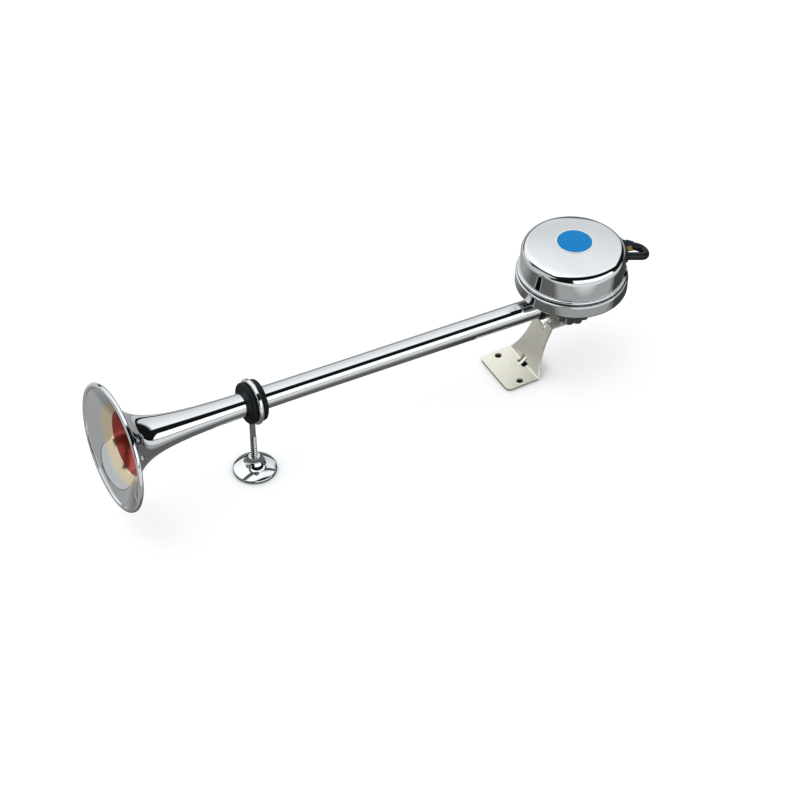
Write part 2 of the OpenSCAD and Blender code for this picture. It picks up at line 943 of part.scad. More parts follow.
module beyond_tongue() {
    difference() {
        translate([setback_high - bend_mid, -plate_w])
            square([tongue_len + plate_w, 2 * plate_w]);
        translate([-plate_w, -waist_w / 2])
            square([plate_w + tongue_len, waist_w]);
        translate([tongue_len, 0])
            circle(d = waist_w);
    }
}

module plate_corner(side) {
    translate([-plate_front, side * plate_w / 2])
        difference() {
            square(2 * plate_round, center = true);
            translate([plate_round, -side * plate_round])
                circle(r = plate_round);
        }
}

// The strap bridges the bend from sheet to sheet
module strap(corner, back, ahead) {
    under = strap_leg - strap_t / cos(acos(heading(back) * heading(ahead)) / 2);
    rotate([90, 0, 0])
        translate([0, 0, -strap_w / 2])
            linear_extrude(height = strap_w)
                polygon([
                    corner + under * heading(back), corner + strap_leg * heading(back),
                    corner + strap_leg * heading(ahead), corner + under * heading(ahead)
                ]);
}

// The opening under the strap, cut across the bend; turn is 1 where the bend folds upwards
module bend_window(corner, back, ahead, turn) {
    out_back = sheet_t * heading(back + turn * 90);
    out_ahead = sheet_t * heading(ahead - turn * 90);
    rotate([90, 0, 0])
        translate([0, 0, -window_half])
            linear_extrude(height = 2 * window_half)
                polygon([
                    corner + slot_reach * heading(back) + out_back,
                    corner + 1.5 * (out_back + out_ahead),
                    corner + slot_reach * heading(ahead) + out_ahead,
                    corner + slot_reach * heading(ahead) - out_ahead,
                    corner + slot_reach * heading(back) - out_back
                ]);
}

// On one side of the strap the opening runs on into the web
module slot_run(corner, direction, y) {
    round_r = slot_w / 2 - seam;
    on_sheet(corner, web_angle)
        union() {
            translate([direction * (slot_reach + slot_extra - round_r), y])
                circle(r = round_r);
            translate([direction * (slot_reach + slot_extra) / 2 - (slot_extra + 1) / 2, y - round_r])
                square([slot_extra + 1, 2 * round_r]);
        }
}

module bracket() {
    color("tan")
        union() {
            difference() {
                folded_strip();
                for (side = [-1, 1]) {
                    translate([0, 0, -cut_h / 2])
                        linear_extrude(height = cut_h)
                            plate_corner(side);
                    translate([0, side * hole_spacing / 2, 0])
                        rod(hole_d / 2, -cut_h / 2, cut_h);
                    on_sheet(corner_low, web_angle)
                        beside_web(side);
                }
                on_sheet(corner_high, -rise)
                    beyond_tongue();
                on_horn()
                    rod(bolt_d / 2 + pass, -hub_drop - cut_h / 2, cut_h);
                bend_window(corner_low, 180, web_angle, 1);
                bend_window(corner_high, web_angle + 180, -rise, -1);
                slot_run(corner_low, 1, slot_y);
                slot_run(corner_high, -1, -slot_y);
            }
            strap(corner_low, 180, web_angle);
            strap(corner_high, web_angle + 180, -rise);
        }
}

module bracket_bolt() {
    under_z = -hub_drop - sheet_t - washer_t;
    color("silver")
        on_horn()
            union() {
                rod(bolt_d / 2, under_z, sheet_t + washer_t + bolt_depth);
                intersection() {
                    hexagon(bolt_flats, under_z - bolt_head, bolt_head);
                    translate([0, 0, under_z - bolt_head])
                        cylinder(d1 = bolt_flats * 0.95, d2 = bolt_flats * 2.2, h = bolt_head);
                }
            }
}

module spring_washer() {
    z = -hub_drop - sheet_t - washer_t;
    color("gray")
        on_horn()
            difference() {
                disc(bolt_d / 2 + fit, bolt_d / 2 + washer_t * 1.2, z, washer_t);
                translate([bolt_d / 2, 0, z - 1])
                    rotate([20, 0, 0])
                        translate([-1, 0, -1])
                            cube([washer_t * 3, 0.8, washer_t + 4]);
            }
}

// FRONT SUPPORT
module at_support() {
    on_horn()
        translate([-support_at, 0, 0])
            children();
}

module support_grommet() {
    lip_r = rubber_lip / 2;
    core_r = rubber_r - lip_r;
    half = rubber_pitch / 2 + lip_r;
    rim_at = bell_reach - support_at;
    color("#1c1f22")
        at_support()
            turned_on_trumpet()
                difference() {
                    union() {
                        for (side = [-1, 1])
                            translate([core_r, side * rubber_pitch / 2])
                                circle(r = lip_r);
                        ring_profile(0, core_r, -half, rubber_lip);
                        ring_profile(0, core_r, half - rubber_lip, rubber_lip);
                        ring_profile(0, ring_r - ring_bar / 4, -rubber_pitch / 2, rubber_pitch);
                    }
                    translate([ring_r, 0])
                        circle(r = ring_bar / 2);
                    // The bore follows the trumpet's flare
                    polygon([
                        [0, -2 * half], [flare(rim_at - 2 * half) + fit, -2 * half],
                        [flare(rim_at) + fit, 0], [flare(rim_at + 2 * half) + fit, 2 * half],
                        [0, 2 * half]
                    ]);
                }
}

module support_ring() {
    color("gainsboro")
        union() {
            at_support()
                turned_on_trumpet()
                    translate([ring_r, 0])
                        circle(d = ring_bar);
            translate([support_x, 0, 0]) {
                rod(shank_d / 2, thread_top - 1, support_z - ring_r - thread_top + 1);
                rod(thread_d / 2, seat_z, thread_top - seat_z);
            }
        }
}

module dome_profile() {
    ring_profile(0, foot_d / 2, 0, foot_edge);
    intersection() {
        translate([0, dome_z])
            circle(r = dome_r, $fn = 128);
        ring_profile(0, foot_d / 2, foot_edge / 2, far);
    }
}

module neck_profile() {
    tangent = [curve_x, curve_z - dome_z] * dome_r / (dome_r + neck_curve);
    difference() {
        polygon([
            [0, foot_edge], [0, curve_z], [curve_x, curve_z],
            [tangent[0], tangent[1] + dome_z], [tangent[0], foot_edge]
        ]);
        translate([curve_x, curve_z])
            circle(r = neck_curve);
    }
}

module support_foot() {
    color("gainsboro")
        translate([support_x, 0, 0])
            difference() {
                union() {
                    rotate_extrude()
                        dome_profile();
                    rotate_extrude()
                        neck_profile();
                    rod(collar_d / 2, curve_z - seam, collar_h + seam);
                }
                rotate_extrude()
                    intersection() {
                        ring_profile(boss_r, foot_d / 2 - foot_wall, -1, foot_edge + foot_dome + 1);
                        translate([0, dome_z])
                            circle(r = dome_r - foot_wall, $fn = 128);
                    }
                rod(tap_d / 2, -1, tap_depth + 1);
                rod(thread_d / 2 + fit, seat_z, neck_top);
            }
}

trumpet();
trumpet_seal();
horn_body();
body_gasket();
diaphragm();
frame_gasket();
armature();
armature_washer();
armature_nut();
power_frame();
flange_screws();
pole_core();
lock_nut();
coil_bobbin();
coil();
contact_base();
contact_spring();
contact_spacer();
contact_arm();
spring_point();
arm_point();
contact_screws();
cover();
label();
lead();
lead_grommet();
crimp_sleeve();
blade_terminal();
bracket();
bracket_bolt();
spring_washer();
support_grommet();
support_ring();
support_foot();
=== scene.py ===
# %% [markdown]
# # A car air horn
# A long chromed trumpet carries sound out of a round coil unit. The solids come from an
# exact CAD model, which is loaded here as a fixed frame. Blender gives it the finish of
# the real horn, and remakes the pieces whose polish shows every facet of a CAD mesh.

# %% Load the frame
import json
import math

import bmesh
import bpy
from mathutils import Matrix, Vector


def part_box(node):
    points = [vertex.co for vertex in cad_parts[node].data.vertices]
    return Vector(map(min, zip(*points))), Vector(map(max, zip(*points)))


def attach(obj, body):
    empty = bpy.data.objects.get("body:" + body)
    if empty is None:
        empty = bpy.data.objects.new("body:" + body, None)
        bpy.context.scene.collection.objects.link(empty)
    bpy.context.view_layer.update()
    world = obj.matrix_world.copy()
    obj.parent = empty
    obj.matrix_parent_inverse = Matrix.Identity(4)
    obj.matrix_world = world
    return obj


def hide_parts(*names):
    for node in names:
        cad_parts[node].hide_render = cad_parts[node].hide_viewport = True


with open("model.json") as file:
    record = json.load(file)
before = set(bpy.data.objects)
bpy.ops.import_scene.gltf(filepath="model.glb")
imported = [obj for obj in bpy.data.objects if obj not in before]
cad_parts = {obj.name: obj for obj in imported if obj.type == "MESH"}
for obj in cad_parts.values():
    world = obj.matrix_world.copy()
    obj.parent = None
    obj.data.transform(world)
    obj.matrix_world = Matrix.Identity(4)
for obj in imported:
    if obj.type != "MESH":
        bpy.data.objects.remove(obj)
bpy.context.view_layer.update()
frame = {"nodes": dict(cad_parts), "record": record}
nodes = frame["nodes"]
scene = bpy.context.scene
MM = 0.001

# %% [markdown]
# ## Camera
# The photograph looks down on the horn at 43 degrees from its front left, through a long
# lens. A camera can be aimed with a constraint, but a matrix built from the viewing
# direction also takes the slight roll and keeps every number in one place.

# %% Camera at the photograph's angle
AZIMUTH, ELEVATION, ROLL = (math.radians(a) for a in (-27.87, 43.17, -1.37))
TARGET = Vector((-105.7, 14.2, 0)) * MM
DISTANCE = 3064 * MM
FOCAL_PIXELS, PICTURE_PIXELS, SENSOR_MM = 3385, 800, 36


def camera_axes():
    """The camera's right, up and viewing directions, with its roll."""
    look = Vector((-math.sin(AZIMUTH) * math.cos(ELEVATION),
                   math.cos(AZIMUTH) * math.cos(ELEVATION), -math.sin(ELEVATION)))
    right = Vector((math.cos(AZIMUTH), math.sin(AZIMUTH), 0))
    up = right.cross(look)
    turn = Matrix.Rotation(-ROLL, 3, look)
    return turn @ right, turn @ up, look


right, up, look = camera_axes()
camera_data = bpy.data.cameras.new("photo_camera")
camera_data.sensor_width = SENSOR_MM
camera_data.lens = FOCAL_PIXELS * SENSOR_MM / PICTURE_PIXELS
camera = bpy.data.objects.new("photo_camera", camera_data)
scene.collection.objects.link(camera)
camera_pose = Matrix((right, up, -look)).transposed().to_4x4()
camera_pose.translation = TARGET - look * DISTANCE
camera.matrix_world = camera_pose
scene.camera = camera
print("Lens in mm:", round(camera_data.lens, 1),
      "camera at", [round(v, 3) for v in camera_pose.translation])

# %% [markdown]
# ## Two small helpers
# Colours are written as sRGB hex values, as a paint chart gives them, and a shader wants
# linear light. Node trees are built in the script, so one function adds any node.

# %% Colour and node helpers


def linear(hex_colour):
    """An sRGB colour such as #0A82C8 as linear red, green, blue and alpha."""
    parts = [int(hex_colour[i:i + 2], 16) / 255 for i in (1, 3, 5)]
    return [p / 12.92 if p <= 0.04045 else ((p + 0.055) / 1.055) ** 2.4 for p in parts] + [1]


def add(tree, kind, settings=None, links=None):
    """Adds a node. settings are its own values, or the name of its operation, and links
    go into its inputs. A node given as a link stands for its first output in use."""
    node = tree.nodes.new(kind)
    if isinstance(settings, str):
        settings = {"operation": settings}
    for key, value in (settings or {}).items():
        if key == "stops":
            for element, (position, colour) in zip(node.color_ramp.elements, value):
                element.position, element.color = position, linear(colour)
        else:
            setattr(node, key, value)
    if not isinstance(links, dict):
        links = dict(enumerate(links or ()))
    for key, value in links.items():
        if isinstance(value, bpy.types.Node):
            value = next(output for output in value.outputs if output.enabled)
        if isinstance(value, bpy.types.NodeSocket):
            tree.links.new(value, node.inputs[key])
        else:
            node.inputs[key].default_value = value
    return node


MATH = "ShaderNodeMath"
print("sRGB #808080 is", round(linear("#808080")[0], 3), "in linear light")

# %% [markdown]
# ## The horn's own frame
# The trumpet rises 3.5 degrees towards its bell, and the coil unit leans with it. Pieces
# that belong to the horn are drawn straight, and one matrix leans them into place.

# %% Lean of the horn
RISE = math.radians(3.5)
UNIT_X, AXIS_HEIGHT = 63.4 * MM, 61.6 * MM
horn_frame = Matrix.Translation((UNIT_X, 0, AXIS_HEIGHT)) @ Matrix.Rotation(RISE, 4, "Y")
print("The two axes meet, in mm, at", [round(v / MM, 1) for v in horn_frame.translation])

# %% [markdown]
# ## Finished meshes
# Polished metal shows every wrong normal. Smooth and sharp edges could be marked by hand,
# but one function that merges doubles, turns faces outwards and marks edges by their
# angle does it alike for every piece. A second one hands the mesh over as a piece.

# %% Finish a mesh and keep it as a piece
SHARP_ANGLE = math.radians(35)
MERGE_DISTANCE = 1e-7


def finish_mesh(mesh, place):
    """Merges doubles, turns faces outwards, marks sharp edges and puts the mesh in place."""
    shape = bmesh.new()
    shape.from_mesh(mesh)
    bmesh.ops.remove_doubles(shape, verts=shape.verts, dist=MERGE_DISTANCE)
    bmesh.ops.recalc_face_normals(shape, faces=shape.faces)
    if shape.calc_volume(signed=True) < 0:
        bmesh.ops.reverse_faces(shape, faces=shape.faces)
    for face in shape.faces:
        face.smooth = True
    for edge in shape.edges:
        edge.smooth = edge.is_boundary or edge.calc_face_angle(0) < SHARP_ANGLE
    open_edges = sum(edge.is_boundary for edge in shape.edges)
    shape.transform(place)
    shape.to_mesh(mesh)
    shape.free()
    return open_edges


def keep_piece(name, mesh, place, material, replaced):
    """A finished mesh as a piece that stands for CAD nodes and rides on the body."""
    open_edges = finish_mesh(mesh, place)
    piece = bpy.data.objects.new(name, mesh)
    scene.collection.objects.link(piece)
    mesh.materials.clear()
    mesh.materials.append(material)
    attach(piece, "root")
    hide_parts(*replaced)
    print(name, "faces", len(mesh.polygons), "open edges", open_edges)
    return piece


print("Edges over", round(math.degrees(SHARP_ANGLE)), "degrees stay sharp")

# %% [markdown]
# ## Geometry Nodes as a workshop
# What follows a rule is made by nodes, with a named input for each size. A modifier on an
# empty mesh runs the tree, and its result is copied out as a plain mesh, so that nothing
# live is left on the piece.

# %% Start and run a tree


def new_tree(name, numbers):
    """A Geometry Nodes tree with one geometry output and a named number input for each size."""
    tree = bpy.data.node_groups.new(name, "GeometryNodeTree")
    tree.interface.new_socket("Geometry", in_out="OUTPUT", socket_type="NodeSocketGeometry")
    for title in numbers:
        tree.interface.new_socket(title, in_out="INPUT", socket_type="NodeSocketFloat")
    tree.interface.new_socket("Finish", in_out="INPUT", socket_type="NodeSocketMaterial")
    return tree


def bake_tree(tree, inputs):
    """Runs a Geometry Nodes tree on an empty mesh and returns the result as a plain mesh."""
    host = bpy.data.objects.new("node_host", bpy.data.meshes.new("node_host"))
    scene.collection.objects.link(host)
    modifier = host.modifiers.new("shape", "NODES")
    modifier.node_group = tree
    for item in tree.interface.items_tree:
        if item.item_type == "SOCKET" and item.name in inputs:
            modifier[item.identifier] = inputs[item.name]
    evaluated = host.evaluated_get(bpy.context.evaluated_depsgraph_get())
    mesh = bpy.data.meshes.new_from_object(evaluated)
    host.modifiers.clear()
    bpy.data.objects.remove(host)
    print("Nodes in", tree.name, len(tree.nodes), "points made", len(mesh.vertices))
    return mesh


print("Node trees so far:", len(bpy.data.node_groups))

# %% [markdown]
# ## Rear lead
# A short sleeved lead leaves the cover at the back, turns in a tight loop and goes back
# in. A curve with a bevel would do too, but a sweep in nodes keeps the diameter as a named
# input. The route is the one that the CAD model follows.

# %% Route of the lead
LEAD_DIAMETER = 7.3 * MM
LEAD_INSIDE, HALF_SPAN, TURN_RADIUS, TURN_X = 6 * MM, 9.75 * MM, 6.8 * MM, 15.15 * MM
WALL_AT_LEAD, LEAD_HEIGHT = 47.76 * MM, 46 * MM
LEAD_SIDE, LEAD_DROOP = math.radians(13.5), math.radians(18.5)
corner_reach = math.hypot(HALF_SPAN, TURN_X)
slant = math.acos(TURN_RADIUS / corner_reach) - math.atan2(TURN_X, HALF_SPAN)
leg = math.sqrt(corner_reach ** 2 - TURN_RADIUS ** 2)
loop_frame = (horn_frame @ Matrix.Rotation(-LEAD_SIDE, 4, "Z")
              @ Matrix.Translation((WALL_AT_LEAD, 0, LEAD_HEIGHT))
              @ Matrix.Rotation(LEAD_DROOP, 4, "Y"))
LEG_POINTS, TURN_POINTS = 8, 15


def lead_route():
    """Points down the middle of the lead, from inside the cover, round the loop and back."""
    out = []
    for i in range(LEG_POINTS):
        reach = -LEAD_INSIDE + (leg + LEAD_INSIDE) * i / LEG_POINTS
        out.append((reach * math.cos(slant), HALF_SPAN - reach * math.sin(slant)))
    half_turn = math.pi / 2 - slant
    for i in range(TURN_POINTS):
        angle = half_turn * (1 - 2 * i / (TURN_POINTS - 1))
        out.append((TURN_X + TURN_RADIUS * math.cos(angle), TURN_RADIUS * math.sin(angle)))
    out += [(x, -y) for x, y in reversed(out[:LEG_POINTS])]
    return [loop_frame @ Vector((x, y, 0)) for x, y in out]


route = lead_route()

# %% [markdown]
# ## Materials
# Each finish starts from what the real one is. Patterns read Object coordinates, which
# are metres here, so a scale is one over the pattern's size in metres.

# %% A start for every finish


def start_finish(name, colour, metallic, roughness):
    """A material with a Principled shader and Object coordinates, ready for its pattern."""
    material = bpy.data.materials.new(name)
    material.use_nodes = True
    tree = material.node_tree
    shader = tree.nodes["Principled BSDF"]
    shader.inputs["Base Color"].default_value = linear(colour)
    shader.inputs["Metallic"].default_value = metallic
    shader.inputs["Roughness"].default_value = roughness
    coordinates = add(tree, "ShaderNodeTexCoord")
    return material, tree, shader, coordinates.outputs["Object"]


def per(millimetres):
    """Scale of a pattern whose features have this size in millimetres."""
    return 1 / (millimetres * MM)


print("Scale of a pattern 1 mm wide:", round(per(1)))

# %% [markdown]
# ### A finish that wanders
# No real surface is one flat colour. Plate, rubber and moulded plastic vary a little from
# place to place, shine unevenly and carry a fine relief. One recipe makes them all: wide
# patches mix two shades, and a fine grain drives roughness and bump.

# %% Recipe for plain finishes


def mottle(name, colours, metallic, rough, patch, grain, relief, specular=0.5):
    """A finish with patches of two shades and a fine grain. patch, grain and the relief's
    depth are in millimetres, and rough gives the least and the most roughness."""
    material, tree, shader, place = start_finish(name, colours[0], metallic, rough[0])
    shader.inputs["Specular IOR Level"].default_value = specular
    patches = add(tree, "ShaderNodeTexNoise", None,
                  {"Vector": place, "Scale": per(patch), "Detail": 4, "Roughness": 0.6})
    shade = add(tree, "ShaderNodeValToRGB", {"stops": [(0.35, colours[0]), (0.65, colours[1])]},
                {"Fac": patches})
    fine = add(tree, "ShaderNodeTexNoise", None,
               {"Vector": place, "Scale": per(grain), "Detail": 3, "Roughness": 0.55})
    wear = add(tree, "ShaderNodeMapRange", None,
               {"Value": fine, "From Min": 0.3, "From Max": 0.7,
                "To Min": rough[0], "To Max": rough[1]})
    bump = add(tree, "ShaderNodeBump", None, {"Height": fine, "Distance": relief * MM})
    for title, source in (("Base Color", shade), ("Roughness", wear), ("Normal", bump)):
        tree.links.new(source.outputs[0], shader.inputs[title])
    print("Finish", name, "patches", patch, "mm, grain", grain, "mm")
    return material


print("Materials so far:", len(bpy.data.materials))

# %% [markdown]
# ### Chrome plate
# The trumpet, cover, ring and foot are brass and steel, buffed and plated with nickel and
# then chromium. The eye sees a cool mirror a little darker than silver, with a faint haze
# from the buffing wheel. A mirror shows its surroundings, so the studio below does most
# of the work, and the material only adds haze and tiny unevenness. The marks of a buffing
# wheel are as fine as hair, so their haze is drawn in specks of 2.5 mm, which show.

# %% Chrome finishes
CHROME = ("#C5C8CA", "#CACDCD")
BUFFED = (0.02, 0.045)
HAZE = 2.5
bright_chrome = mottle("bright_chrome_plate", CHROME, metallic=1, rough=BUFFED,
                       patch=30, grain=HAZE, relief=0.0004)
# A die casting is never as flat as spun sheet, so its plate is hazier and slightly rippled
cast_chrome = mottle("chrome_on_die_casting", ("#BCC0C1", "#C6C9C9"), metallic=1,
                     rough=(0.06, 0.14), patch=14, grain=1.2, relief=0.002)

# %% [markdown]
# ### Chrome on a thread
# A thread's crests are plated bright and its grooves lie in shade, so from a step away it is
# a row of dark lines. The shank's mesh carries the groove's depth as an attribute, and the
# plate is painted dark by it, as painted shade.

# %% Chrome with dark grooves
# Near black, painted into the grooves as painted shade
GROOVE_PAINTED_SHADE = "#24282A"


def threaded_chrome():
    """The bright plate, painted dark in a thread's grooves as painted shade."""
    material = bright_chrome.copy()
    material.name = "chrome_on_a_thread"
    tree = material.node_tree
    shader = tree.nodes["Principled BSDF"]
    plate = shader.inputs["Base Color"].links[0].from_socket
    groove = add(tree, "ShaderNodeAttribute", {"attribute_name": "groove"}).outputs["Fac"]
    # The grooves are painted dark: painted shade
    colour = add(tree, "ShaderNodeMix", {"data_type": "RGBA"},
                 {"Factor": groove, "A": plate, "B": linear(GROOVE_PAINTED_SHADE)})
    tree.links.new(colour.outputs[2], shader.inputs["Base Color"])
    return material


thread_chrome = threaded_chrome()
print("Finish", thread_chrome.name, "nodes", len(thread_chrome.node_tree.nodes))

# %% [markdown]
# ### Lacquered bell
# Deep in its mouth the bell is lacquered red, over the same chrome, and a band of the
# chrome next to the red is painted cream, a painted reflection. The trumpet's mesh carries
# its depth behind the rim as an attribute, so one material can change from bare plate to
# the painted cream band to lacquer there.

# %% Chrome with red lacquer
# The chrome is painted cream between the first two depths, a painted reflection, and the red
# lacquer starts at the third
CREAM_BAND_FROM, CREAM_BAND_FULL, LACQUER_FROM, LACQUER_EDGE = 6 * MM, 10 * MM, 14 * MM, 0.3 * MM
PAINTED_REFLECTION_CREAM, CREAM_BAND_ROUGH, LACQUER_ROUGH = "#DCCDAE", 0.12, 0.2
LACQUER_REDS, BRUSH_STROKE = ("#96362B", "#A63D30"), 9


def lacquered_chrome():
    """Bare plate at the rim, a painted cream reflection behind it and red lacquer in the depth."""
    material, tree, shader, place = start_finish("chrome_and_red_lacquer", CHROME[0], 1, 0.03)
    depth = add(tree, "ShaderNodeAttribute", {"attribute_name": "bell_depth"}).outputs["Fac"]
    cream_reflection_band = add(tree, "ShaderNodeMapRange", {"interpolation_type": "SMOOTHSTEP"},
               {"Value": depth, "From Min": CREAM_BAND_FROM, "From Max": CREAM_BAND_FULL})
    paint = add(tree, "ShaderNodeMapRange", {"interpolation_type": "SMOOTHSTEP"},
                {"Value": depth, "From Min": LACQUER_FROM - LACQUER_EDGE,
                 "From Max": LACQUER_FROM + LACQUER_EDGE})
    haze = add(tree, "ShaderNodeTexNoise", None,
               {"Vector": place, "Scale": per(HAZE), "Detail": 3, "Roughness": 0.55})
    wear = add(tree, "ShaderNodeMapRange", None,
               {"Value": haze, "From Min": 0.3, "From Max": 0.7,
                "To Min": BUFFED[0], "To Max": BUFFED[1]})
    brushed = add(tree, "ShaderNodeTexNoise", None,
                  {"Vector": place, "Scale": per(BRUSH_STROKE), "Detail": 2})
    reds = add(tree, "ShaderNodeValToRGB",
               {"stops": [(0.35, LACQUER_REDS[0]), (0.65, LACQUER_REDS[1])]}, {"Fac": brushed})
    # The cream band painted onto the chrome is a painted reflection
    plate = add(tree, "ShaderNodeMix", {"data_type": "RGBA"},
                {"Factor": cream_reflection_band, "A": linear(CHROME[0]), "B": linear(PAINTED_REFLECTION_CREAM)})
    colour = add(tree, "ShaderNodeMix", {"data_type": "RGBA"},
                 {"Factor": paint, "A": plate, "B": reds})
    satin = add(tree, "ShaderNodeMix", None, {"Factor": cream_reflection_band, "A": wear, "B": CREAM_BAND_ROUGH})
    rough = add(tree, "ShaderNodeMix", None, {"Factor": paint, "A": satin, "B": LACQUER_ROUGH})
    # The lacquer is thin, so half of what the eye gets is the chrome under it, tinted red
    metal = add(tree, MATH, "MULTIPLY_ADD", (paint, -0.5, 1))
    tree.links.new(colour.outputs[2], shader.inputs["Base Color"])
    tree.links.new(rough.outputs[0], shader.inputs["Roughness"])
    tree.links.new(metal.outputs[0], shader.inputs["Metallic"])
    return material


red_inside = lacquered_chrome()
print("Finish", red_inside.name, "red from a depth in mm of", round(LACQUER_FROM / MM, 1))

# %% [markdown]
# ### Plated sheet, rubber and plastic
# The bracket is pressed steel with a satin plate, warm grey with a fine grain. The rubber
# is carbon black, and its fine skin scatters so much that it reflects less than smooth
# rubber would. The real grain of plate, rubber and drawn steel is some hundredths of a
# millimetre, which never shows, so it is drawn at 0.3 to 0.8 mm.

# %% Plain finishes of the outside
finishes = {
    "chrome": bright_chrome,
    "plated_casting": cast_chrome,
    # Zinc plate on pressed steel gives warm grey with a broad, soft shine
    "satin_plate": mottle("satin_zinc_plate", ("#E2DECF", "#E8E5D8"), metallic=0.65,
                          rough=(0.34, 0.44), patch=9, grain=0.35, relief=0.003),
    # Moulded rubber is nearly black, and its skin drinks the light
    "black_rubber": mottle("moulded_black_rubber", ("#080B0C", "#101416"), metallic=0,
                           rough=(0.5, 0.7), patch=5, grain=0.5, relief=0.01, specular=0.2),
    # Extruded vinyl is smoother than rubber and shines in long streaks
    "black_sleeve": mottle("extruded_vinyl_sleeve", ("#070C0E", "#0C1214"), metallic=0,
                           rough=(0.3, 0.45), patch=8, grain=0.8, relief=0.006, specular=0.25),
    # The crimp's blue vinyl is darkened almost to black, as painted shade
    "blue_crimp": mottle("blue_crimp_vinyl", ("#0A1322", "#0F1C30"), metallic=0,
                         rough=(0.3, 0.45), patch=4, grain=0.6, relief=0.005, specular=0.25),
    # Stamped brass has gone brown in the air and lost its shine
    "brass": mottle("tarnished_brass", ("#6E5424", "#86682F"), metallic=1,
                    rough=(0.3, 0.5), patch=5, grain=0.4, relief=0.002),
    # Zinc on screws is a cool, slightly uneven grey
    "screw_steel": mottle("zinc_plated_steel", ("#B5B9BC", "#C4C6C5"), metallic=1,
                          rough=(0.2, 0.35), patch=4, grain=0.4, relief=0.003),
}

# %% [markdown]
# ### Inside the coil unit
# Nothing under the cover shows, yet each piece has the finish that it would have on a
# bench: spring steel and drawn steel, nylon, phenolic board and gaskets of cork rubber.

# %% Plain finishes of the inside
finishes.update({
    # Cork crumbs in rubber make a dull, speckled brown
    "gasket": mottle("cork_rubber_gasket", ("#2C2A26", "#3B3630"), metallic=0,
                     rough=(0.7, 0.9), patch=1.5, grain=0.4, relief=0.03),
    # Rolled spring steel is smooth and a little blue
    "spring_steel": mottle("rolled_spring_steel", ("#A2A5A8", "#AEB1B3"), metallic=1,
                           rough=(0.22, 0.34), patch=8, grain=0.3, relief=0.002),
    # Drawing leaves mild steel darker, with a dry shine
    "drawn_steel": mottle("drawn_mild_steel", ("#8E9194", "#9CA0A3"), metallic=1,
                          rough=(0.3, 0.45), patch=8, grain=0.5, relief=0.004),
    # Undyed nylon is the colour of cream
    "nylon": mottle("moulded_nylon", ("#DCD6C2", "#E6E0CE"), metallic=0,
                    rough=(0.4, 0.5), patch=6, grain=0.6, relief=0.004),
    # Phenolic board is resin and paper, a dark red brown
    "bakelite": mottle("phenolic_board", ("#3A2013", "#4A2A18"), metallic=0,
                       rough=(0.35, 0.5), patch=3, grain=0.5, relief=0.005),
})

# %% [markdown]
# ### Enamelled copper coil
# The coil is some hundreds of turns of lacquered copper, orange brown, and each band is painted
# lighter on its crest and darker in its gap, as painted highlight and shade.
# Turns of 0.4 mm wire are too fine to show, so the bands are drawn 3.77 mm apart.

# %% Coil finish
BAND_SPACING = 3.77 * MM
# A wave texture has 20 radians to a unit of length at scale 1
WAVE_RADIANS = 20


def wound_copper():
    """Bands across the coil's height, with a painted highlight on each crest and painted shade in
    each gap.
    """
    material, tree, shader, place = start_finish("enamelled_copper_wire", "#A5532C", 1, 0.3)
    turns = add(tree, "ShaderNodeTexWave", {"bands_direction": "Z"},
                {"Vector": place, "Scale": math.tau / (WAVE_RADIANS * BAND_SPACING),
                 "Distortion": 0.4, "Detail": 1})
    # Painted highlight on each turn's crest and painted shade in each gap
    shade = add(tree, "ShaderNodeValToRGB", {"stops": [(0.2, "#6A3118"), (0.8, "#B8643A")]},
                {"Fac": turns.outputs["Fac"]})
    bump = add(tree, "ShaderNodeBump", None,
               {"Height": turns.outputs["Fac"], "Strength": 1.0, "Distance": 0.1 * MM})
    tree.links.new(shade.outputs["Color"], shader.inputs["Base Color"])
    tree.links.new(bump.outputs["Normal"], shader.inputs["Normal"])
    return material


finishes["copper_winding"] = wound_copper()
print("Finish", finishes["copper_winding"].name, "bands in mm:", round(BAND_SPACING / MM, 2))

# %% [markdown]
# ### Round label
# The label is a vinyl disc printed blue all over, with a thin unprinted ring at its edge.
# The eye sees flat, even ink with hardly any shine. The ring is drawn from the distance
# to the label's middle, which needs no second piece.

# %% Label finish
LABEL_RADIUS, LABEL_RING, RING_SOFT = 17 * MM, 1.1 * MM, 0.1 * MM
LABEL_BLUES, LABEL_RIM = ("#0079BC", "#0481C4"), "#E9E6D4"
label_low, label_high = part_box("label")
label_middle = (label_low + label_high) / 2


def printed_vinyl():
    """Blue ink with a pale ring at the disc's edge."""
    material, tree, shader, place = start_finish("printed_blue_vinyl", "#0A82C8", 0, 0.3)
    # Ink with a matt varnish reflects less than bare vinyl
    shader.inputs["Specular IOR Level"].default_value = 0.1
    radius = add(tree, "ShaderNodeVectorMath", "DISTANCE", (place, label_middle))
    ring = add(tree, "ShaderNodeMapRange", {"interpolation_type": "SMOOTHSTEP"},
               {"Value": radius.outputs["Value"],
                "From Min": LABEL_RADIUS - LABEL_RING - RING_SOFT,
                "From Max": LABEL_RADIUS - LABEL_RING + RING_SOFT})
    ink = add(tree, "ShaderNodeTexNoise", None, {"Vector": place, "Scale": per(3), "Detail": 3})
    blues = add(tree, "ShaderNodeValToRGB",
                {"stops": [(0.35, LABEL_BLUES[0]), (0.65, LABEL_BLUES[1])]}, {"Fac": ink})
    colour = add(tree, "ShaderNodeMix", {"data_type": "RGBA"},
                 {"Factor": ring, "A": blues, "B": linear(LABEL_RIM)})
    grain = add(tree, "ShaderNodeTexNoise", None,
                {"Vector": place, "Scale": per(0.5), "Detail": 2})
    wear = add(tree, "ShaderNodeMapRange", None, {"Value": grain, "To Min": 0.25, "To Max": 0.42})
    tree.links.new(colour.outputs[2], shader.inputs["Base Color"])
    tree.links.new(wear.outputs[0], shader.inputs["Roughness"])
    return material


finishes["blue_label"] = printed_vinyl()
print("Label's middle in mm:", [round(v / MM, 1) for v in label_middle])

